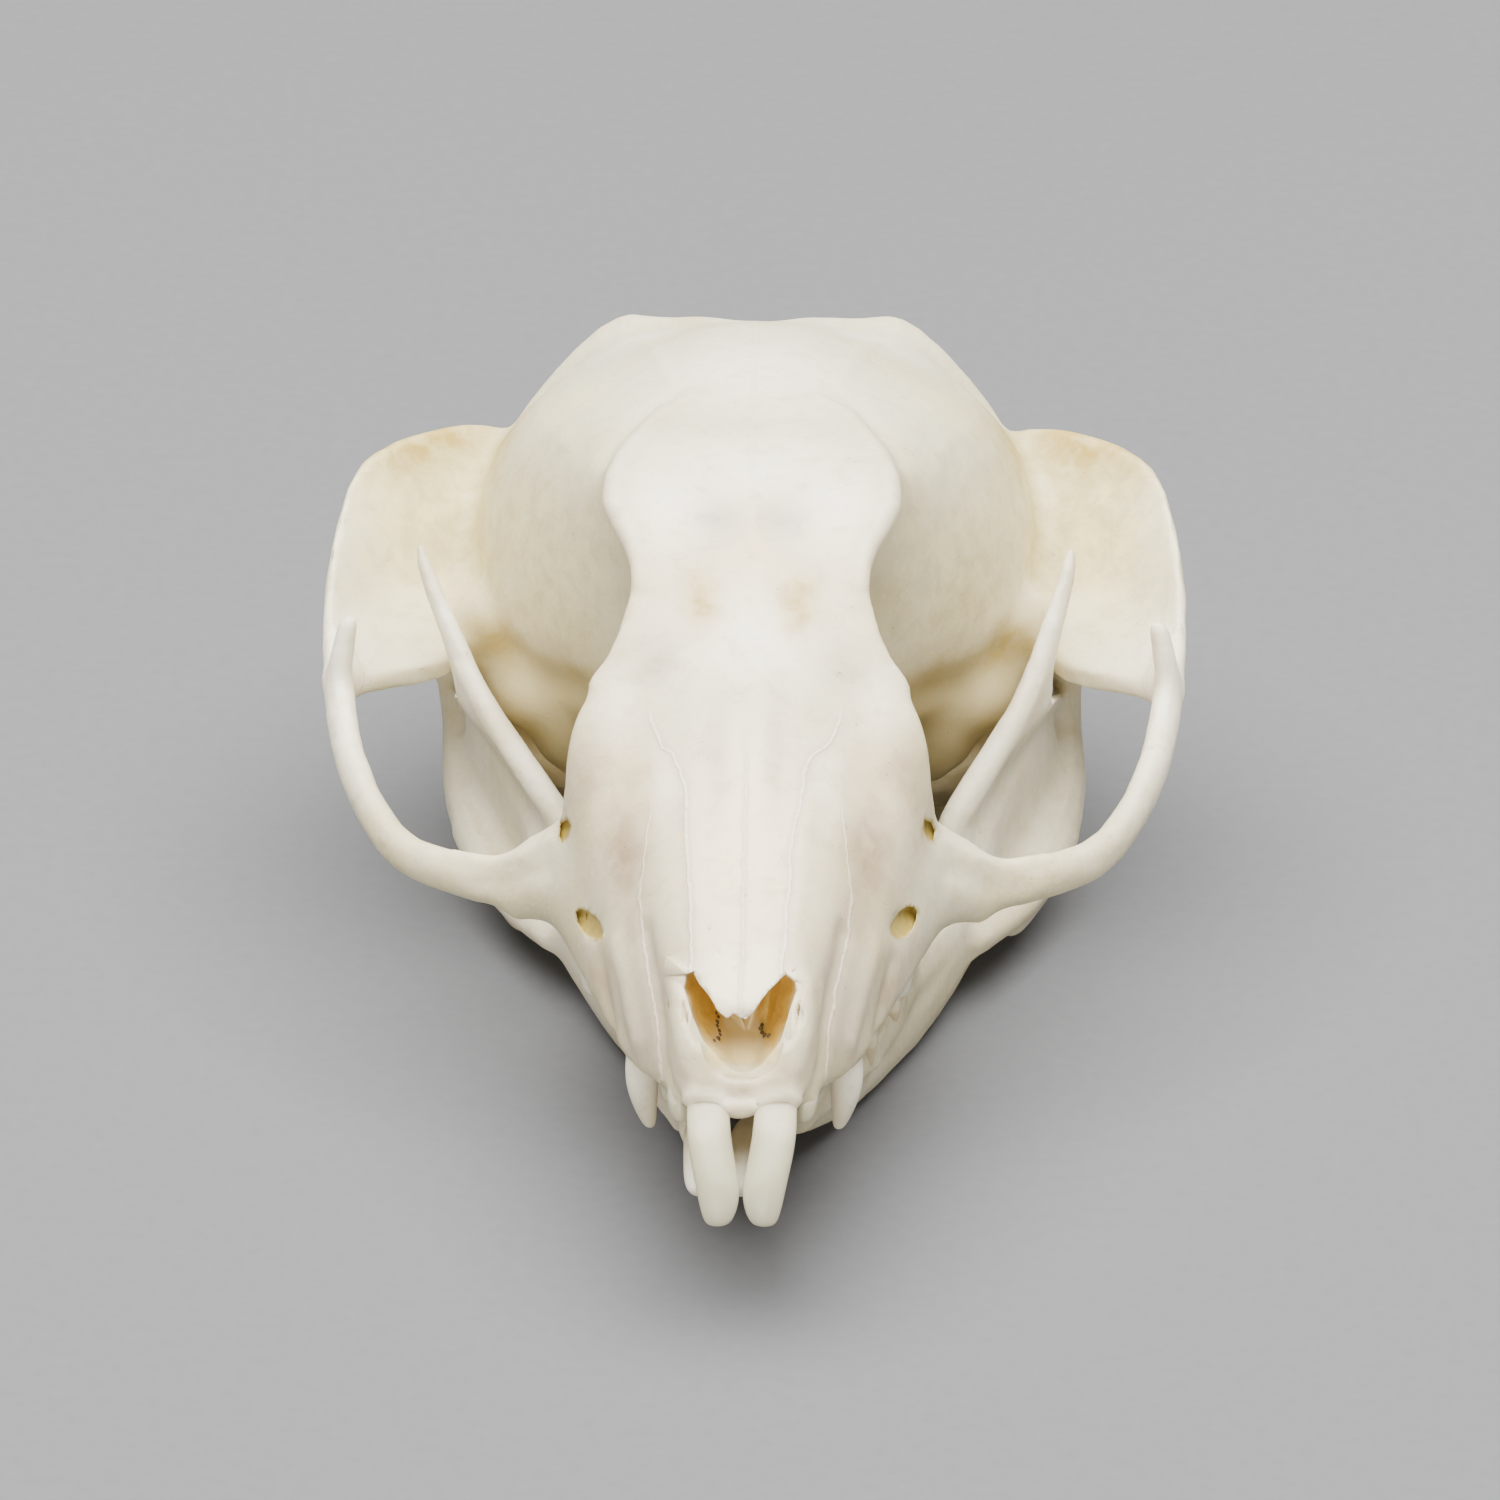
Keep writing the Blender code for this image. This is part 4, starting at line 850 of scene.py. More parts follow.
# %% Marks, mirror images and rows of teeth
def store(ob, name, values):
    """Keep one number, or three, at each point of a mesh, for its material to read."""
    kind, slot = ('FLOAT', "value") if values.ndim == 1 else ('FLOAT_VECTOR', "vector")
    layer = ob.data.attributes.new(name, kind, 'POINT')
    layer.data.foreach_set(slot, values.astype(np.float32).ravel())


def mark_root(ob, neck, tip, lying=False):
    """Store how near each point is to the root: 1 at the neck, 0 at the tip."""
    value = millimetres(ob)[:, 1 if lying else 2]
    store(ob, "root", np.clip((value - tip) / (neck - tip), 0, 1))


def other_side(ob):
    only(ob)
    bpy.ops.object.duplicate()
    twin = bpy.context.object
    twin.scale.x = -1
    bpy.ops.object.transform_apply()
    face_outwards()
    return twin


def gather(name, obs, slack=0.0):
    """Join single teeth to one piece; with slack each is turned a little, as real ones are."""
    for ob in obs:
        if slack:
            points = millimetres(ob)
            middle = points.mean(axis=0)
            angle = rng.uniform(-slack, slack)
            cos, sin = math.cos(angle), math.sin(angle)
            spin = np.array([[cos, -sin, 0], [sin, cos, 0], [0, 0, 1]])
            set_millimetres(ob, (points - middle) @ spin.T + middle)
    piece = joined(obs, name)
    bpy.ops.object.shade_smooth()
    print(name, "of", len(obs), "teeth,", triangles_of(piece), "triangles")
    return piece


# %% [markdown]
# ## Front teeth of the upper jaw
# The first pair is large and lies forward, with worn chisel tips that meet in the middle. Two
# very small incisors follow on each side, and behind them a slim, pointed canine. Each station of
# a tooth is its middle and its two half widths, and then come the heights of neck and tip.

# %% Upper incisors and canines
FRONT_TEETH = [
    ("first incisor", [(0.92, 1.10, 6.60, 0.44, 0.42), (0.93, 0.35, 6.15, 0.57, 0.55),
                       (0.92, -0.25, 5.78, 0.60, 0.60), (0.89, -0.80, 5.35, 0.62, 0.58),
                       (0.77, -1.38, 4.88, 0.62, 0.50), (0.65, -1.78, 4.50, 0.62, 0.41),
                       (0.60, -2.06, 4.12, 0.58, 0.31), (0.60, -2.27, 3.74, 0.47, 0.21),
                       (0.64, -2.36, 3.44, 0.30, 0.13)], 5.7, 3.5),
    ("second incisor", [(1.74, 1.30, 6.30, 0.26, 0.34), (1.72, 1.05, 5.70, 0.36, 0.44),
                        (1.70, 0.90, 5.30, 0.35, 0.42), (1.67, 0.74, 5.00, 0.22, 0.28)], 5.6, 5.0),
    ("third incisor", [(2.0, 2.20, 6.2, 0.26, 0.32), (1.99, 2.08, 5.65, 0.34, 0.40),
                       (1.97, 1.95, 5.25, 0.32, 0.38), (1.94, 1.84, 4.98, 0.18, 0.24)], 5.6, 5.0),
    ("canine", [(2.70, 4.20, 6.4, 0.38, 0.44), (2.79, 4.10, 5.55, 0.45, 0.53),
                (2.83, 4.02, 4.95, 0.48, 0.56), (2.83, 3.96, 4.40, 0.47, 0.52),
                (2.77, 3.93, 3.85, 0.38, 0.42), (2.68, 3.92, 3.35, 0.26, 0.28),
                (2.60, 3.93, 2.98, 0.14, 0.14)], 5.3, 3.1)]
front = []
for name, stations, neck, tip in FRONT_TEETH:
    tooth = grow_tooth(name, stations)
    mark_root(tooth, neck, tip)
    front += [tooth, other_side(tooth)]
upper_incisors = gather("upper_incisors", front[:6])
upper_canines = gather("upper_canines", front[6:])

# %% [markdown]
# ## Cheek teeth
# The premolars are small cones, the last one taller. A molar is a rounded block with four low
# cusps around a basin. The block is a cube, cut into smaller faces; its top corners are pulled up
# and its middle pushed down before the modifier rounds it.

# %% A molar from a cube
def pick(ob, test):
    """In edit mode: select the points of the mesh that pass a test."""
    mesh = bmesh.from_edit_mesh(ob.data)
    bpy.ops.mesh.select_all(action='DESELECT')
    for vert in mesh.verts:
        vert.select = test(vert.co)
    mesh.select_flush_mode()
    bmesh.update_edit_mesh(ob.data)


def grow_molar(name, x, y, z, length, width, height, way):
    """One molar; way is 1 for a lower tooth and -1 for an upper one."""
    bpy.ops.object.select_all(action='DESELECT')
    bpy.ops.mesh.primitive_cube_add(size=1)
    tooth = bpy.context.object
    tooth.name = name
    bpy.ops.object.mode_set(mode='EDIT')
    bpy.ops.mesh.select_all(action='SELECT')
    bpy.ops.mesh.subdivide(number_cuts=3)
    origin = (0, 0, 0)
    pick(tooth, lambda c: c.z < -0.2)
    bpy.ops.transform.resize(value=(0.80, 0.88, 1), center_override=origin)
    pick(tooth, lambda c: c.z > 0.4)
    bpy.ops.transform.resize(value=(0.84, 0.92, 1), center_override=origin)
    pick(tooth, lambda c: c.z > 0.4 and 0.2 < abs(c.x) and 0.2 < abs(c.y))
    bpy.ops.transform.translate(value=(0, 0, 0.16))
    pick(tooth, lambda c: c.z > 0.4 and 0.15 < abs(c.x) < 0.3 and 0.15 < abs(c.y) < 0.3)
    bpy.ops.transform.translate(value=(0, 0, 0.20))
    bpy.ops.transform.resize(value=(1.25, 1.25, 1), center_override=origin)
    pick(tooth, lambda c: c.z > 0.4 and abs(c.x) < 0.1 and abs(c.y) < 0.3)
    bpy.ops.transform.translate(value=(0, 0, -0.16))
    pick(tooth, lambda c: c.z > 0.3 and abs(c.y) < 0.1 and abs(c.x) > 0.3)
    bpy.ops.transform.resize(value=(0.90, 1, 1), center_override=origin)
    bpy.ops.object.mode_set(mode='OBJECT')
    finish_with(tooth, 'SUBSURF', levels=2)
    sizes = (width, length, height * 1.7)    # the part in the socket is included
    tooth.scale = [size * MM / extent for size, extent in zip(sizes, tooth.dimensions)]
    tooth.scale.z *= way
    only(tooth)
    bpy.ops.object.transform_apply()
    top = max(way * v.co.z for v in tooth.data.vertices)
    tooth.location = here(x, y, z + way * height) - Vector((0, 0, way * top))
    bpy.ops.object.transform_apply()
    face_outwards()
    return tooth


# %% A premolar, and the row of one side
def grow_premolar(name, x, y, z, wide, deep, height, way):
    stations = [(x, y, z - way * 0.8, wide * 0.8, deep * 0.8), (x, y, z, wide, deep),
                (x, y, z + way * height * 0.35, wide * 1.15, deep * 1.12),
                (x, y, z + way * height * 0.75, wide * 0.62, deep * 0.62),
                (x, y - 0.04, z + way * height * 1.05, wide * 0.18, deep * 0.2)]
    return grow_tooth(name, stations)


def cheek_row(premolars, molars, line, way):
    """The cheek teeth of one side, each with the height of its crown."""
    row = [(grow_premolar("premolar", x, y, line, wide, deep, height, way), height)
           for x, y, wide, deep, height in premolars]
    row += [(grow_molar("molar", x, y, line, length, width, height, way), height)
            for x, y, length, width, height in molars]
    return row


# %% Cheek teeth of the upper jaw
UPPER_PREMOLARS = [(3.00, 5.55, 0.28, 0.46, 0.85), (3.22, 6.80, 0.30, 0.46, 0.80),
                   (3.45, 8.10, 0.38, 0.60, 1.05)]
UPPER_MOLARS = [(3.86, 9.95, 2.10, 1.65, 1.05), (4.06, 12.10, 1.96, 1.80, 1.08),
                (4.10, 14.05, 1.78, 1.78, 1.05), (3.98, 15.75, 1.42, 1.55, 0.90)]
UPPER_LINE = 5.32
cheek = [tooth for tooth, _ in cheek_row(UPPER_PREMOLARS, UPPER_MOLARS, UPPER_LINE, -1)]
for tooth in list(cheek):
    mark_root(tooth, UPPER_LINE, UPPER_LINE - 1.0)
    cheek.append(other_side(tooth))
upper_cheek_teeth = gather("upper_cheek_teeth", cheek, 0.05)

# %% [markdown]
# ## Teeth of the lower jaw
# The lower incisors lie almost level and reach forward behind the upper pair; only their pale
# tips show from the front. They are grown lying down. A tiny second incisor stands behind each.
# All lower teeth then take the small shift to the side that the jaw has.

# %% Lower incisors and cheek teeth
LOWER_INCISOR = [(1.02, 4.9, 2.80, 0.40, 0.50), (0.96, 4.0, 3.05, 0.46, 0.58),
                 (0.88, 3.0, 3.28, 0.49, 0.62), (0.80, 1.7, 3.50, 0.50, 0.60),
                 (0.74, 0.6, 3.60, 0.49, 0.52), (0.69, -0.35, 3.74, 0.46, 0.41),
                 (0.65, -0.95, 3.83, 0.39, 0.29), (0.62, -1.32, 3.93, 0.27, 0.17)]
SMALL_INCISOR = [(1.28, 4.3, 3.0, 0.20, 0.26), (1.30, 4.0, 3.6, 0.25, 0.29),
                 (1.31, 3.8, 3.95, 0.19, 0.21), (1.3, 3.65, 4.15, 0.08, 0.10)]
LOWER_PREMOLARS = [(1.66, 5.35, 0.23, 0.34, 0.50), (1.98, 6.35, 0.24, 0.38, 0.48),
                   (2.36, 7.50, 0.30, 0.48, 0.72)]
LOWER_MOLARS = [(2.95, 9.30, 2.05, 1.20, 0.88), (3.44, 11.40, 1.96, 1.30, 0.86),
                (3.80, 13.35, 1.82, 1.28, 0.82), (4.10, 15.15, 1.56, 1.15, 0.74)]
LOWER_LINE = 3.05
INCISOR_LEAN = -0.38    # how far the left lower incisor leans to the middle, in millimetres
lower = [grow_tooth("lower incisor", LOWER_INCISOR, lying=True),
         grow_tooth("small incisor", SMALL_INCISOR)]
mark_root(lower[0], 2.6, -1.3, lying=True)
mark_root(lower[1], 3.4, 4.15)
for tooth, height in cheek_row(LOWER_PREMOLARS, LOWER_MOLARS, LOWER_LINE, 1):
    mark_root(tooth, LOWER_LINE, LOWER_LINE + height)
    lower.append(tooth)
lower += [other_side(tooth) for tooth in lower]
for tooth in lower:
    set_millimetres(tooth, np.array([settled(*p) for p in millimetres(tooth)]))
points = millimetres(lower[0])
points[:, 0] += INCISOR_LEAN * (1 - fade(2.6, 5.0, points[:, 1]))
set_millimetres(lower[0], points)
lower_left = gather("lower_teeth_left", lower[:len(lower) // 2], 0.04)
lower_right = gather("lower_teeth_right", lower[len(lower) // 2:], 0.04)

# %% [markdown]
# ## Crumbs in the nose
# Two dark crumbs of dried skin curl in the nose, where its side walls meet the paler middle.

# %% Crumbs
CRUMBS = [[(716, 1013), (718, 1017), (717, 1022), (717, 1026), (719, 1031), (720, 1035), (718, 1039),
           (714, 1041)], [(762, 1025), (761, 1029), (762, 1033), (765, 1036), (769, 1036)]]
crumbs = []
for pixels in CRUMBS:
    for i, (x, y, z) in enumerate(path_on(cranium, pixels)):
        size = 0.045 + 0.03 * rng.random()
        crumbs.append(ball(here(x, y, z), (size, size * 1.4, size), Vector((0.3 * i, 1, 0.5))))
dark_crumbs = joined(crumbs, "dark_crumbs")
lighten(dark_crumbs, SMALL_TRIANGLES)

# %% [markdown]
# ## Where the bone is stained, and painted light and shade
# A cleaned skull is white where the bone is thick and dense, cream where it is spongy, rosy grey
# where it is thin enough to let the dark inside through, and gold where fat or dried skin is
# left. A few zones are painted light and shade: whiter on the lip under the nose, at the root of
# the cheek arch and on the tips of the jaw blades, greyer low on the snout, and gold with painted
# shade in the gap under the root of the wing. These zones are soft, so each is an ellipsoid that
# fades outward, stored on the points. A zone is written as its strength, its middle and its radii
# in millimetres, for both sides.

# %% Zones of colour
def zone(points, centre, radii):
    """1 at the centre, fading with the distance measured in radii."""
    gap = (np.abs(points) - np.abs(centre)) if centre[0] else points - np.array(centre)
    gap[:, 1:] = points[:, 1:] - np.array(centre[1:])
    return np.exp(-((gap / np.array(radii)) ** 2).sum(axis=1))


GOLD_AND_SHADE_ZONES = [
    # The second zone of the next line, in the gap under the root of the wing, is gold bone with painted
    # shade.
    (0.95, (9.4, 29.6, 12.0), (3.4, 2.4, 1.2)), (1.00, (7.2, 24.2, 8.0), (1.5, 1.8, 1.0)),
    (0.45, (8.9, 28.4, 9.0), (3.0, 2.5, 3.0)), (0.30, (6.0, 22.6, 10.6), (1.8, 4.0, 2.6)),
    (0.25, (6.6, 10.4, 8.0), (1.2, 1.6, 0.8)), (0.25, (10.4, 24.8, 9.0), (2.2, 1.6, 1.4)),
    (0.85, (1.40, 13.8, 14.4), (0.50, 1.0, 1.0)),
    (0.45, (2.6, 20.5, 5.6), (2.4, 6.0, 1.0)), (0.40, (0, 9.0, 5.2), (3.4, 8.0, 0.8)),
    (0.25, (9.0, 26.0, 9.2), (3.0, 2.0, 1.6))]
ROSY_ZONES = [
    (1.00, (3.4, 7.4, 9.7), (0.70, 2.6, 1.3)), (0.55, (2.6, 12.2, 13.2), (0.55, 0.8, 0.8)),
    (0.15, (1.3, 13.8, 14.3), (0.50, 0.7, 0.8)), (0.45, (0.80, 8.6, 12.0), (0.30, 2.6, 1.2)),
    (1.00, (2.7, 3.4, 7.4), (0.8, 2.6, 1.6)), (0.80, (3.9, 6.0, 6.4), (0.9, 2.2, 0.9)),
    (0.60, (3.0, 5.4, 8.6), (0.8, 2.2, 1.2)), (0.30, (8.6, 17.0, 6.6), (2.0, 4.0, 0.8)),
    (0.60, (4.4, 10.2, 10.8), (0.6, 1.1, 1.2))]
GREY_AND_SHADE_ZONES = [
    (1.00, (0.95, 17.1, 15.3), (0.60, 0.75, 0.8)), (0.35, (4.8, 22.6, 13.6), (1.6, 3.0, 1.8)),
    (0.30, (0, 28.0, 15.8), (3.2, 2.0, 0.8)), (0.35, (4.4, 30.5, 14.0), (2.0, 2.6, 1.4)),
    # The next zone, low on the snout, is painted shade.
    (0.60, (2.8, 3.4, 7.6), (0.8, 2.2, 1.6))]
WHITE_AND_LIT_ZONES = [
    (1.00, (0.4, 1.2, 9.2), (1.2, 2.2, 1.2)), (0.90, (0, 6.0, 11.2), (1.7, 6.5, 2.4)),
    (1.00, (0, 12.8, 13.9), (2.4, 2.8, 1.4)), (1.00, (2.2, 17.6, 15.4), (1.8, 2.6, 1.4)),
    (0.90, (0, 19.0, 16.0), (3.6, 2.6, 1.2)), (0.80, (0, 25.5, 16.0), (3.4, 4.0, 1.4)),
    (0.55, (3.6, 31.8, 14.2), (1.6, 1.6, 1.0)), (0.80, (2.2, 8.6, 11.2), (0.55, 1.6, 1.0)),
    # The second zone of the next line, on the lip under the nose, is a painted highlight.
    (0.65, (3.6, 11.3, 12.3), (0.6, 1.4, 0.9)), (1.00, (0.7, -0.2, 6.15), (1.1, 0.8, 0.50)),
    # The second zone of the next line, at the root of the cheek arch, is painted light.
    (0.60, (1.5, 0.9, 7.2), (0.30, 0.7, 0.8)), (0.80, (8.0, 10.6, 7.8), (3.0, 1.6, 0.9)),
    (1.00, (12.2, 19.0, 9.0), (1.3, 7.0, 2.6)), (0.60, (12.3, 26.6, 11.0), (0.9, 3.0, 2.4)),
    (0.90, (9.4, 11.6, 7.6), (2.4, 2.0, 1.0))]
WARM_ZONES = [
    (1.00, (1.35, 13.9, 14.4), (0.65, 1.3, 1.0)), (0.90, (0, 5.4, 10.8), (2.2, 5.5, 2.4)),
    (0.60, (0.6, 1.0, 9.2), (1.3, 1.8, 1.0)), (0.50, (3.4, 9.6, 10.8), (1.6, 3.6, 2.4)),
    (0.35, (2.4, 14.6, 14.4), (2.0, 3.0, 1.6)), (0.45, (0.7, -0.2, 6.3), (1.4, 1.2, 0.8)),
    (0.60, (0, 15.2, 14.9), (1.2, 2.2, 1.2))]
STRAW_ZONES = [
    (1.00, (10.4, 28.4, 10.4), (2.6, 4.4, 3.4)), (0.80, (5.6, 22.6, 11.8), (1.8, 3.6, 2.4)),
    (0.60, (4.8, 26.4, 13.8), (1.6, 3.0, 1.6)), (0.80, (9.6, 11.2, 7.2), (2.6, 2.0, 1.4))]
# On the jaw, the first white zone lights the thin tip of the blade: painted light, its glow.
JAW_WHITE_AND_LIT = [(1.00, (8.6, 20.6, 10.2), (1.2, 3.0, 2.4)), (0.60, (6.6, 17.6, 7.2), (0.7, 1.8, 2.2))]


def paint(ob, name, zones, least=0.0):
    points = millimetres(ob)
    value = np.zeros(len(points)) + least
    for strength, centre, radii in zones:
        value = np.maximum(value, strength * zone(points, centre, radii))
    store(ob, name, value)


print(len(GOLD_AND_SHADE_ZONES), "gold zones,", len(WHITE_AND_LIT_ZONES), "white zones")


# %% [markdown]
# ## Painted shade in the hollows
# The hollows are painted darker and tan, as painted shade. How open a point lies is measured by
# rays: from each point a few rays go out over the half sphere above it, and the share that meets
# bone within a few millimetres is its hollowness. The rays are the same for every point, so the
# result has no grain.

# %% How hollow each point lies
def hollowness(ob, others, rays, reach):
    trees = [BVHTree.FromObject(o, bpy.context.evaluated_depsgraph_get()) for o in [ob] + others]
    points, normals = millimetres(ob), normals_of(ob)
    fan = rng.normal(size=(rays, 3))
    fan /= np.linalg.norm(fan, axis=1)[:, None]
    shut = np.zeros(len(points), dtype=np.float32)
    for i, (p, n) in enumerate(zip(points, normals)):
        start = here(*p) + Vector(n) * (0.03 * MM)
        ways = [Vector(ray + n * 1.05) for ray in fan]
        hits = sum(any(tree.ray_cast(start, way, reach * MM)[0] for tree in trees) for way in ways)
        shut[i] = hits / rays
    # The share of rays that meets bone: the material paints the hollows darker with it, as painted shade.
    store(ob, "hollow", shut)
    return shut


RAYS = 14
SHADE_REACH = 2.6    # millimetres
print(RAYS, "rays from each point")

# %% [markdown]
# ## Sutures
# The bones of a skull meet in fine wavy lines. A line thinner than a triangle can't be painted on
# the points, but its signed distance can: it is zero along the line and grows away from it, and
# the material draws the line wherever the value passes zero. Three families of lines are kept:
# round the nasals, along the middle, and across the snout and the cheek.

# %% Signed distances of the sutures
NASAL_LEFT = [(650, 719), (661, 747), (673, 754), (680, 771), (685, 792), (686, 849), (689, 896),
              (691, 950)]
NASAL_RIGHT = [(824, 672), (843, 691), (841, 717), (831, 745), (812, 754), (805, 773), (801, 806),
               (794, 825), (790, 861), (788, 908), (783, 960)]
SNOUT_SIDE = [(842, 800), (846, 840), (849, 867), (852, 895), (848, 930), (840, 975), (833, 1010),
              (826, 1075)]
left_edge, right_edge, snout_edge = (path_on(cranium, p) for p in (NASAL_LEFT, NASAL_RIGHT, SNOUT_SIDE))


def along_y(points, path):
    """The x of a path at the y of each point."""
    path = sorted(path, key=lambda p: p[1])
    return np.interp(points[:, 1], [p[1] for p in path], [p[0] for p in path])


def both_lines(first, second):
    """One signed field that is zero along two lines."""
    return first * second / np.sqrt(first ** 2 + second ** 2 + 1e-9)


def suture_fields(points):
    """Three signed distances at each point, and how strongly each line shows there."""
    x, y, z = points.T
    wide = np.abs(x)
    nasals = both_lines(x - along_y(points, left_edge), x - along_y(points, right_edge))
    on_nasals = fade(7.6, 8.4, z) * (1 - fade(10.2, 11.0, y)) * (wide < 5)
    lengthwise = np.where(y < 14, x + 0.02, both_lines(x + 0.04, y - 21.3 + 0.35 * wide))
    on_top = 0.35 * fade(12.5, 14.0, z) * fade(18.5, 20, y)
    on_length = np.where(y < 14, fade(8.2, 9.0, z) * (1 - fade(8.4, 9.8, y)), on_top)
    sides = wide - along_y(points, snout_edge)
    hinge = both_lines(y - 21.6 - 0.9 * (z - 7.6), y - 32.4 - 0.25 * (z - 10))
    far_back = 0.5 * fade(6.5, 7.5, z) * (1 - fade(12.6, 13.4, z))
    on_hinge = np.where(y < 27, (wide > 9.6) * (z < 9.2), far_back)
    crosswise = np.where(y < 15, sides, hinge)
    on_cross = np.where(y < 15, 0.7 * fade(5.2, 5.8, z) * (1 - fade(7.6, 8.6, y)), on_hinge)
    fields = np.stack([nasals, lengthwise, crosswise], axis=1)
    return fields, np.stack([on_nasals, on_length, on_cross], axis=1)


fields, strengths = suture_fields(millimetres(cranium))
print("sutures show on", int((strengths.max(axis=1) > 0).sum()), "points")

# %% [markdown]
# ## Dried skin, and tan bone with painted shade
# The wall of the nose and the floors of the canals are dried skin. Between the two deep yellow
# sheets in the nose lies a paler middle that widens downward. Below the braincase the bone is
# painted tan, as tan bone and as painted shade of the recess there, along a border that climbs
# outward.

# %% Mark the dried skin, and the tan bone with painted shade
def pixels_of(points):
    """The pixel at which each point appears in the photograph."""
    way = (points - (0, FRONT, 0)) * MM - np.array(camera.location)
    far = way @ np.array(look)
    u = PHOTO / 2 + way @ np.array(across) / far * PIXELS_WIDE
    v = PHOTO / 2 - way @ np.array(upward) / far * PIXELS_WIDE
    return u, v


def inside_by(us, vs, ring):
    """How many pixels each place lies inside a closed outline; below 0 it lies outside."""
    inside = np.zeros(len(us), dtype=bool)
    gap = np.full(len(us), 1e9)
    for (u0, v0), (u1, v1) in zip(ring, ring[1:] + ring[:1]):
        crosses = ((v0 > vs) != (v1 > vs)) & (us < (u1 - u0) * (vs - v0) / (v1 - v0 + 1e-9) + u0)
        inside ^= crosses
        along = (us - u0) * (u1 - u0) + (vs - v0) * (v1 - v0)
        share = np.clip(along / ((u1 - u0) ** 2 + (v1 - v0) ** 2), 0, 1)
        gap = np.minimum(gap, np.hypot(us - u0 - share * (u1 - u0), vs - v0 - share * (v1 - v0)))
    return np.where(inside, gap, -gap)


SKIN_GAP = 0.16 * MM    # a point this near the plug's surface is the wall of the nose
PALE_COLUMN = 739       # the pixel column of the paler middle
points = millimetres(cranium)
x, y, z = points.T
wide = np.abs(x)
us, vs = pixels_of(points)
wall = np.zeros(len(points))
for i in np.flatnonzero((y < 5.0) & (wide < 2.6) & (z > 5.4)):
    wall[i] = nose_walls.find_nearest(here(*points[i]))[3] < SKIN_GAP
behind_rim = y - (-0.2 + (z - 6.9) * 0.86)
wall *= np.maximum(fade(0.5, 0.9, behind_rim), fade(0.0, 5.0, inside_by(us, vs, outline)))
wall *= 1 - fade(1052, 1068, vs)    # bare bone again just above the lip
middle_width = np.clip(17 + (vs - 1015) * 0.45, 8, 40)
middle_part = wall * (1 - fade(0.8, 1.2, np.abs(us - PALE_COLUMN) / middle_width))
canal_skin = np.zeros(len(points))
for (canal, _, _), (place, radius) in zip(canals, skin_middles):
    near = gap_to(points, place) < radius * 3.0
    canal_skin = np.maximum(canal_skin, near * fade(-2.2, -0.2, inside_by(us, vs, canal)))
store(cranium, "skin", np.stack([wall, middle_part, canal_skin], axis=1))
store(cranium, "suture", fields)
store(cranium, "suture_on", strengths * (1 - np.maximum(wall, canal_skin))[:, None])
# Tan bone below the braincase, with painted shade of the recess there: darker below a border that climbs
# outward.
tan_and_shade = 1 - fade(-0.35, 0.35, z - 8.75 + 0.28 * (wide - 5.5))
tan_and_shade *= fade(18.2, 19.4, y) * (1 - fade(25.0, 26.5, y)) * fade(3.0, 4.2, wide)
tan_and_shade *= 1 - fade(8.2, 9.2, wide)
tan_and_shade *= 1 - 0.8 * zone(points, (7.2, 24.2, 8.0), (1.3, 1.6, 0.9))
store(cranium, "tan_and_shade", tan_and_shade)
print(int(wall.sum()), "points of the nose's wall")

# %% Paint the zones and the hollows
SKULL_ZONES = {"gold": GOLD_AND_SHADE_ZONES, "rosy": ROSY_ZONES, "grey": GREY_AND_SHADE_ZONES, "white": WHITE_AND_LIT_ZONES,
               "warm": WARM_ZONES, "straw": STRAW_ZONES}
for ob in [cranium] + jaws + ears:
    is_ear, is_jaw = ob in ears, ob in jaws
    for name, zones in SKULL_ZONES.items():
        if is_jaw:
            zones = JAW_WHITE_AND_LIT if name == "white" else []
        paint(ob, name, zones, 0.20 if is_ear and name == "gold" else 0.0)
    shut = hollowness(ob, [cranium] + jaws if is_ear else [], RAYS, SHADE_REACH)
    print(ob.name, "mean hollowness", round(float(shut.mean()), 2))
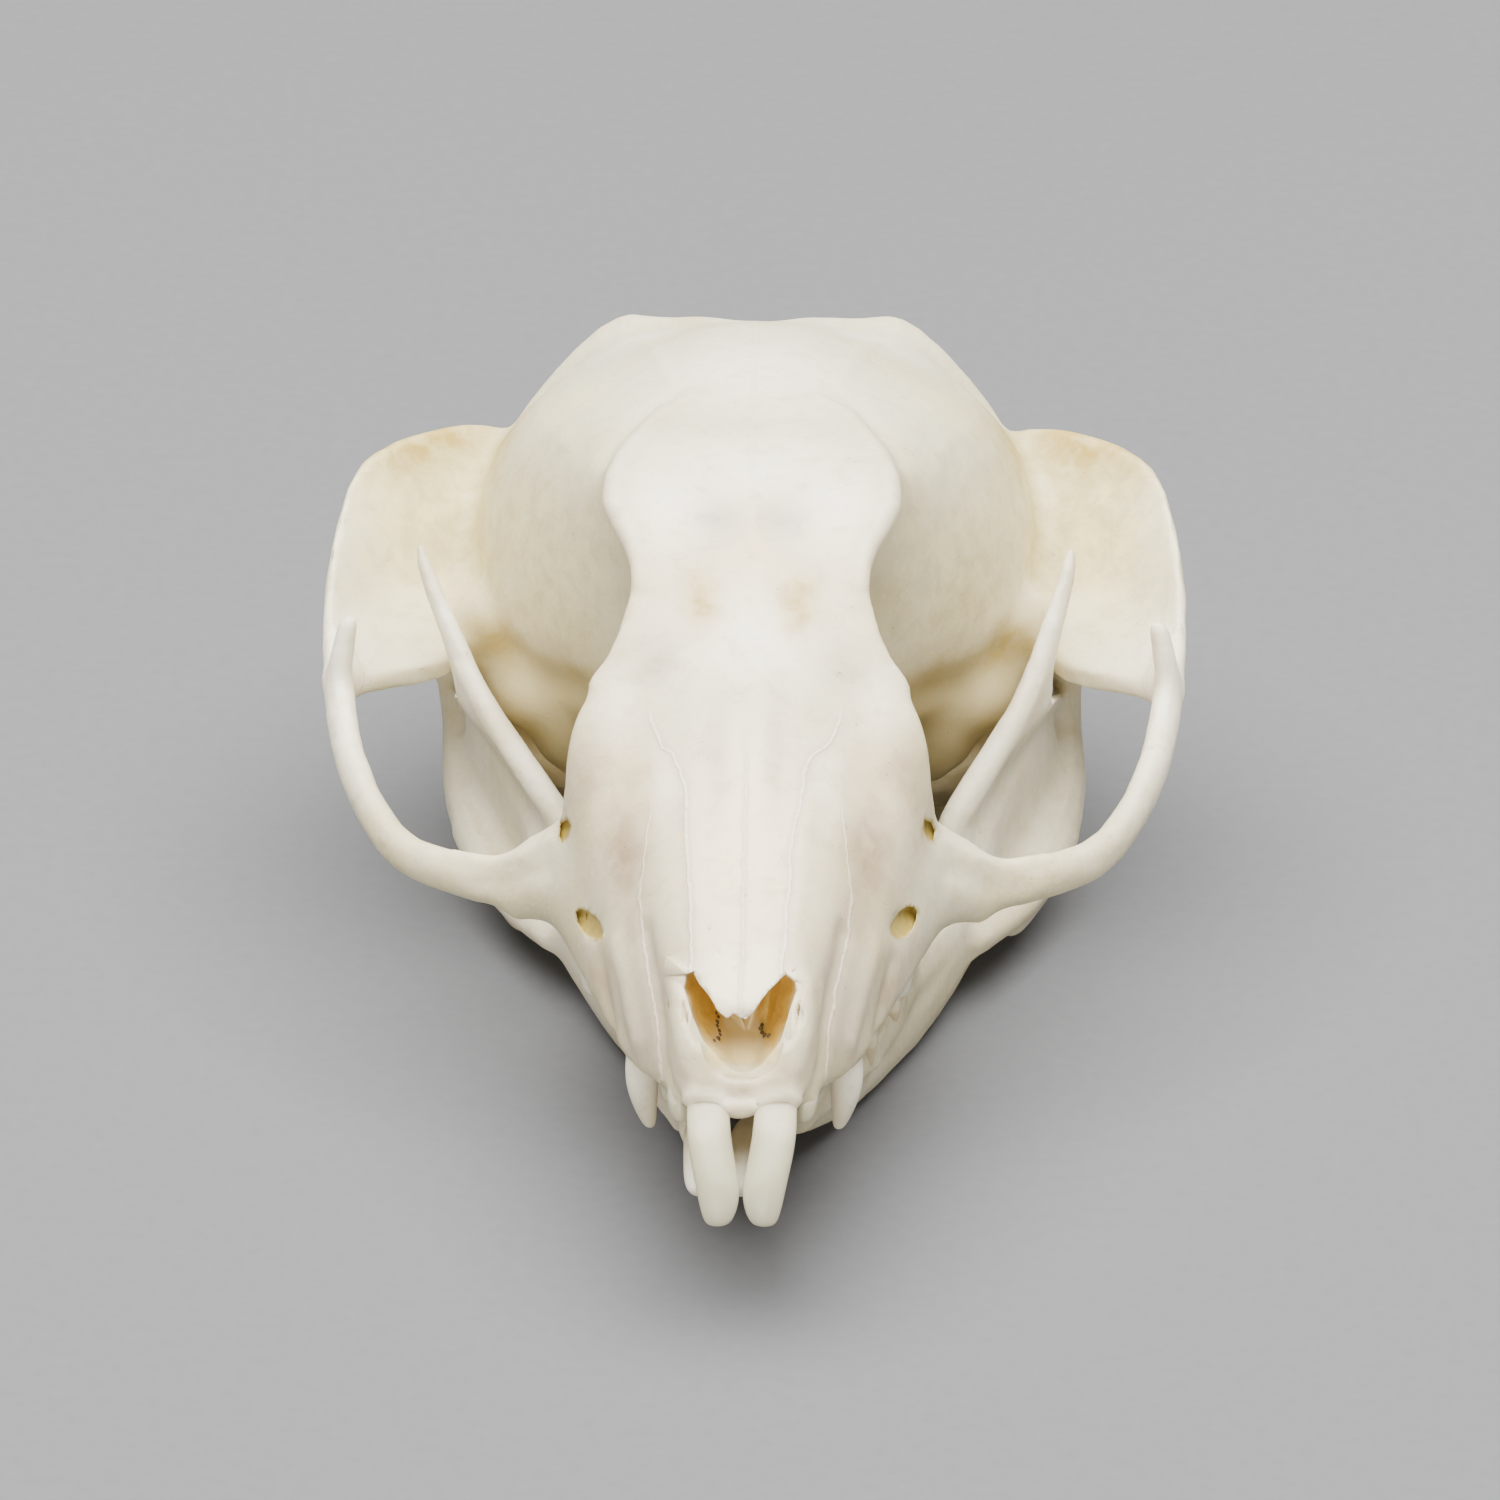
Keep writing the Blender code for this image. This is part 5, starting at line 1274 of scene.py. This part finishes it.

# %% [markdown]
# ## Bone
# Bleached bone is a matt, slightly see-through solid. Its colour wanders on three scales: broad
# clouds, mottling the size of its spongy cells, and fine pale grain. The zones, the painted shade
# of the hollows, the dried skin and the sutures are laid over it one after another. Tiny pores are
# darker and sunk, and the finest grain is a bump only. Light goes in and comes out warmer.

# %% A builder of nodes
class Shader:
    """Builds one node after another in a material."""

    def __init__(self, name):
        self.material = bpy.data.materials.new(name)
        self.material.use_nodes = True
        self.nodes = self.material.node_tree.nodes
        self.links = self.material.node_tree.links
        self.end = self.nodes["Principled BSDF"]
        self.place = self.add("ShaderNodeTexCoord").outputs["Object"]

    def put(self, node, socket, value):
        target = node.inputs[socket]
        if isinstance(value, bpy.types.NodeSocket):
            self.links.new(value, target)
        else:
            target.default_value = value

    def add(self, kind, settings=(), **inputs):
        node = self.nodes.new(kind)
        for key, value in dict(settings).items():
            setattr(node, key, value)
        for socket, value in inputs.items():
            self.put(node, socket.replace("_", " "), value)
        return node

    def number(self, name):
        return self.add("ShaderNodeAttribute", {"attribute_name": name}).outputs["Fac"]

    def three(self, name):
        vector = self.add("ShaderNodeAttribute", {"attribute_name": name}).outputs["Vector"]
        return self.add("ShaderNodeSeparateXYZ", Vector=vector).outputs

    def maths(self, how, a, b=0.0, clamp=False):
        node = self.add("ShaderNodeMath", {"operation": how, "use_clamp": clamp})
        self.put(node, 0, a)
        self.put(node, 1, b)
        return node.outputs[0]

    def times(self, a, b, clamp=False):
        return self.maths('MULTIPLY', a, b, clamp)

    def wander(self, noise, most):
        """A noise brought round zero, from minus to plus half of the most."""
        return self.times(self.maths('SUBTRACT', noise, 0.5), most)

    def spread(self, value, low, high, to_low=0.0, to_high=1.0):
        """Map a value softly from one range to another."""
        node = self.add("ShaderNodeMapRange", {"interpolation_type": 'SMOOTHSTEP'}, Value=value)
        for socket, number in zip((1, 2, 3, 4), (low, high, to_low, to_high)):
            node.inputs[socket].default_value = number
        return node.outputs[0]

    def noise(self, per_mm, detail=3.0, rough=0.5, twist=0.0, place=None):
        return self.add("ShaderNodeTexNoise", Vector=place or self.place, Scale=per_mm / MM,
                        Detail=detail, Roughness=rough, Distortion=twist).outputs[0]

    def tint(self, amount, under, over):
        """One colour over another."""
        node = self.add("ShaderNodeMix", {"data_type": 'RGBA'})
        self.put(node, 0, amount)
        self.put(node, 6, under)
        self.put(node, 7, over)
        return node.outputs[2]

    def bump(self, height, depth, normal=None):
        node = self.add("ShaderNodeBump", Height=height, Distance=depth * MM, Strength=1.0)
        if normal is not None:
            self.put(node, "Normal", normal)
        return node.outputs[0]

    def surface(self, color, normal, roughness, gloss, see_through, reach, scale):
        """Close the material; light travels as far as the reach says, red farthest."""
        for socket, value in (("Base Color", color), ("Normal", normal), ("Roughness", roughness),
                              ("Specular IOR Level", gloss), ("Subsurface Weight", see_through),
                              ("Subsurface Radius", reach), ("Subsurface Scale", scale)):
            self.put(self.end, socket, value)
        return self.material


# %% The shades of bone and dried skin
IVORY = (0.96, 0.89, 0.72, 1)
WARM = (0.98, 0.76, 0.45, 1)
STRAW = (0.90, 0.81, 0.42, 1)
ROSY = (0.38, 0.28, 0.17, 1)
GREY = (0.50, 0.46, 0.37, 1)
GOLD = (0.44, 0.31, 0.06, 1)
TAN_AND_SHADE = (0.48, 0.39, 0.19, 1)
DARK_CELLS = (0.50, 0.40, 0.22, 1)
PALE_GRAIN = (0.98, 0.94, 0.84, 1)
# The painted shade of the hollows, a dark tan.
HOLLOW_SHADE = (0.44, 0.33, 0.15, 1)
PORE = (0.30, 0.22, 0.12, 1)
NOSE_SKIN = (0.76, 0.50, 0.10, 1), (0.60, 0.37, 0.06, 1)
NOSE_MIDDLE_SKIN = (0.86, 0.70, 0.34, 1)
CANAL_SKIN = (0.43, 0.32, 0.08, 1), (0.35, 0.25, 0.05, 1)
SUTURE_FLANK = (0.56, 0.43, 0.28, 1)
SUTURE_LINE = (0.96, 0.90, 0.78, 1)
SUTURE_WIDTHS = (0.038, 0.028, 0.030)    # millimetres, one for each family
print("sutures as wide as", SUTURE_WIDTHS, "mm")

# %% [markdown]
# The cranium alone has tan bone with painted shade, dried skin and sutures. A suture is a pale
# line between two darker flanks, and a noise moves it to and fro, so that it wanders as a real one
# does.

# %% Dried skin and sutures in nodes
def skin_over(s, color):
    """The tan bone and painted shade below the braincase, and the dried skin of nose and canals."""
    color = s.tint(s.times(s.number("tan_and_shade"), 0.9), color, TAN_AND_SHADE)
    wall, middle_part, canal = s.three("skin")
    folds = s.spread(s.noise(2.2, 4.0, 0.65, 0.8), 0.35, 0.68)
    color = s.tint(wall, color, s.tint(folds, *NOSE_SKIN))
    color = s.tint(middle_part, color, NOSE_MIDDLE_SKIN)
    return s.tint(canal, color, s.tint(folds, *CANAL_SKIN))


def suture_lines(s):
    """The lines of all sutures and their darker flanks, wandering a little."""
    shift = s.wander(s.noise(1.5, 3.0, 0.55), 0.26)
    lines = flanks = None
    for field, on, width in zip(s.three("suture"), s.three("suture_on"), SUTURE_WIDTHS):
        gap = s.maths('ABSOLUTE', s.maths('ADD', field, shift))
        line = s.times(s.spread(gap, width * 0.4, width * 1.6, 1.0, 0.0), on)
        flank = s.times(s.spread(gap, width * 1.5, width * 6.0, 1.0, 0.0), on)
        lines = line if lines is None else s.maths('MAXIMUM', lines, line)
        flanks = flank if flanks is None else s.maths('MAXIMUM', flanks, flank)
    return lines, flanks


# %% [markdown]
# Each layer of the bone is a mix of what lies under it and one more shade, and its amount is a
# noise, a stored zone, or both multiplied. Pores come last, because they cut through all of it.

# %% The material of bone
def bone_material(name, base, cream, whole_skull=False):
    s = Shader(name)
    clouds = s.noise(0.22, 3.0, 0.55)
    cells = s.noise(1.3, 4.0, 0.6, 0.4)
    grain = s.noise(5.5, 3.0, 0.6)
    color = s.tint(s.spread(clouds, 0.38, 0.66), base, cream)
    white = s.times(s.number("white"), s.spread(cells, 0.25, 0.55, 0.75, 1.0), True)
    color = s.tint(white, color, IVORY)
    straw = s.times(s.number("straw"), s.spread(cells, 0.30, 0.62, 0.9, 0.55))
    color = s.tint(straw, color, STRAW)
    color = s.tint(s.times(s.number("warm"), 0.8), color, WARM)
    color = s.tint(s.times(s.spread(cells, 0.46, 0.70), 0.30), color, DARK_CELLS)
    color = s.tint(s.times(s.spread(grain, 0.50, 0.75), 0.16), color, PALE_GRAIN)
    blotch = s.spread(cells, 0.30, 0.62, 0.70, 1.15)
    for attribute, strength, shade in (("rosy", 0.90, ROSY), ("grey", 0.80, GREY), ("gold", 0.95, GOLD)):
        color = s.tint(s.times(s.times(s.number(attribute), strength), blotch, True), color, shade)
    # Painted shade: the more a point is shut in, the darker and tanner it is painted.
    hollow = s.maths('ADD', s.number("hollow"), s.wander(cells, 0.5))
    color = s.tint(s.spread(hollow, 0.25, 0.85, 0.0, 0.45), color, HOLLOW_SHADE)
    height = s.maths('ADD', s.times(cells, 0.6), s.times(grain, 0.25))
    if whole_skull:
        color = skin_over(s, color)
        lines, flanks = suture_lines(s)
        broken = s.times(lines, s.spread(grain, 0.30, 0.55, 0.35, 1.0))
        color = s.tint(s.times(flanks, 0.35), color, SUTURE_FLANK)
        color = s.tint(s.times(broken, 0.60), color, SUTURE_LINE)
        height = s.maths('ADD', height, s.times(lines, 0.6))
    pores = s.add("ShaderNodeTexVoronoi", Vector=s.place, Scale=3.4 / MM, Randomness=1.0)
    pits = s.times(s.spread(pores.outputs["Distance"], 0.05, 0.17, 1.0, 0.0), s.spread(cells, 0.52, 0.66))
    color = s.tint(s.times(pits, 0.30), color, PORE)
    height = s.maths('SUBTRACT', height, s.times(pits, 0.7))
    normal = s.bump(s.noise(16.0, 2.0, 0.6), 0.006, s.bump(height, 0.035))
    roughness = s.spread(cells, 0.3, 0.7, 0.44, 0.60)
    return s.surface(color, normal, roughness, 0.38, 0.42, (1.0, 0.72, 0.42), 0.0005)


# %% Dress the bones
def dress(ob, material):
    ob.data.materials.clear()
    ob.data.materials.append(material)


dress(cranium, bone_material("cranium bone", (0.62, 0.56, 0.38, 1), (0.57, 0.50, 0.29, 1), True))
jaw_bone = bone_material("jaw bone", (0.64, 0.58, 0.42, 1), (0.58, 0.51, 0.32, 1))
ear_bone = bone_material("ear bone", (0.62, 0.55, 0.38, 1), (0.54, 0.45, 0.26, 1))
for ob in jaws + ears:
    dress(ob, jaw_bone if ob in jaws else ear_bone)
print("bone on", 1 + len(jaws + ears), "pieces")

# %% [markdown]
# ## Teeth and crumbs
# Enamel is denser and glossier than bone, and its shade changes from the tip to the neck and
# again at the root, with faint stains and fine lengthwise crazing. The crumbs in the nose are
# nearly black.

# %% The materials of enamel and crumbs
STAIN = (0.46, 0.40, 0.27, 1)
CRAZING = (0.62, 0.52, 0.36, 1)
# Shades of the tip, the neck and the root.
ENAMEL = {"front enamel": [(0.46, 0.43, 0.30, 1), (0.44, 0.41, 0.27, 1), (0.60, 0.54, 0.38, 1)],
          "canine enamel": [(0.70, 0.62, 0.44, 1), (0.84, 0.77, 0.60, 1), (0.84, 0.78, 0.60, 1)],
          "cheek enamel": [(0.74, 0.70, 0.58, 1), (0.68, 0.62, 0.47, 1), (0.62, 0.54, 0.38, 1)],
          "lower enamel": [(0.70, 0.66, 0.54, 1), (0.74, 0.63, 0.42, 1), (0.60, 0.48, 0.28, 1)]}


def enamel_material(name):
    s = Shader(name)
    tip, neck, root = ENAMEL[name]
    level = s.maths('ADD', s.number("root"), s.wander(s.noise(1.5), 0.30))
    color = s.tint(s.spread(level, 0.05, 0.75), tip, neck)
    color = s.tint(s.spread(level, 0.80, 1.02), color, root)
    color = s.tint(s.spread(s.noise(2.2, 4.0, 0.65), 0.50, 0.74, 0.0, 0.35), color, STAIN)
    stretched = s.add("ShaderNodeVectorMath", {"operation": 'MULTIPLY'})
    s.put(stretched, 0, s.place)
    s.put(stretched, 1, (1.0, 1.0, 0.16))
    along = stretched.outputs[0]
    lines = s.spread(s.noise(7.0, 2.0, 0.6, place=along), 0.62, 0.70)
    color = s.tint(s.times(lines, 0.16), color, CRAZING)
    normal = s.bump(s.noise(5.0, 3.0, 0.6, place=along), 0.012)
    return s.surface(color, normal, 0.34, 0.45, 0.5, (1.0, 0.8, 0.5), 0.0006)


def crumb_material(name, pale, deep):
    s = Shader(name)
    color = s.tint(s.spread(s.noise(1.6, 4.0, 0.65, 0.8), 0.35, 0.68), pale, deep)
    normal = s.bump(s.noise(3.2, 4.0, 0.65), 0.06)
    return s.surface(color, normal, 0.42, 0.5, 0.6, (1.0, 0.6, 0.22), 0.0009)


lower_enamel = enamel_material("lower enamel")
dress(upper_incisors, enamel_material("front enamel"))
dress(upper_canines, enamel_material("canine enamel"))
dress(upper_cheek_teeth, enamel_material("cheek enamel"))
dress(lower_left, lower_enamel)
dress(lower_right, lower_enamel)
dress(dark_crumbs, crumb_material("dark crumbs", (0.12, 0.09, 0.05, 1), (0.06, 0.05, 0.03, 1)))
print("materials:", [m.name for m in bpy.data.materials])

# %% [markdown]
# Paper is a felt of fibres. A fine noise between two close greys gives it a faint grain.

# %% Grain of the paper
fibres = paper.node_tree.nodes
place = fibres.new("ShaderNodeTexCoord").outputs["Object"]
grain = fibres.new("ShaderNodeTexNoise")
grain.inputs["Scale"].default_value = 2.2 / MM
grain.inputs["Detail"].default_value = 3.0
paper.node_tree.links.new(place, grain.inputs["Vector"])
shades = fibres.new("ShaderNodeMix")
shades.data_type = 'RGBA'
shades.inputs[6].default_value = (0.118, 0.119, 0.123, 1)
shades.inputs[7].default_value = (0.140, 0.141, 0.145, 1)
paper.node_tree.links.new(grain.outputs[0], shades.inputs[0])
paper.node_tree.links.new(shades.outputs[2], shader_of(paper).inputs["Base Color"])
print("paper has", len(fibres), "nodes")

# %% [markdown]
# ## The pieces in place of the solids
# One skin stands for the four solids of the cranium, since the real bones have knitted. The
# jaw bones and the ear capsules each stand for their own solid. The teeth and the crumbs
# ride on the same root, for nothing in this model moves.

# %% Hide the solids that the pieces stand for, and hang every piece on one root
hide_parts("braincase", "snout", "jugal_left", "jugal_right")
for piece, node in zip(jaws + ears, ("dentary_left", "dentary_right", "bulla_left", "bulla_right")):
    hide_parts(node)
teeth = [upper_incisors, upper_canines, upper_cheek_teeth, lower_left, lower_right]
pieces = [cranium, dark_crumbs] + teeth + jaws + ears
for piece in pieces:
    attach(piece, "root")
print(len(pieces), "pieces:", sum(len(p.data.loop_triangles) for p in pieces), "triangles")

# %% [markdown]
# ## Size
# The finished model keeps the box of the solids. The last line prints the box of the finished
# model in millimetres.

# %% Print the size
low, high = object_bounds()
print("finished box in mm:", [round(c / MM, 2) for c in (*low, *high)])
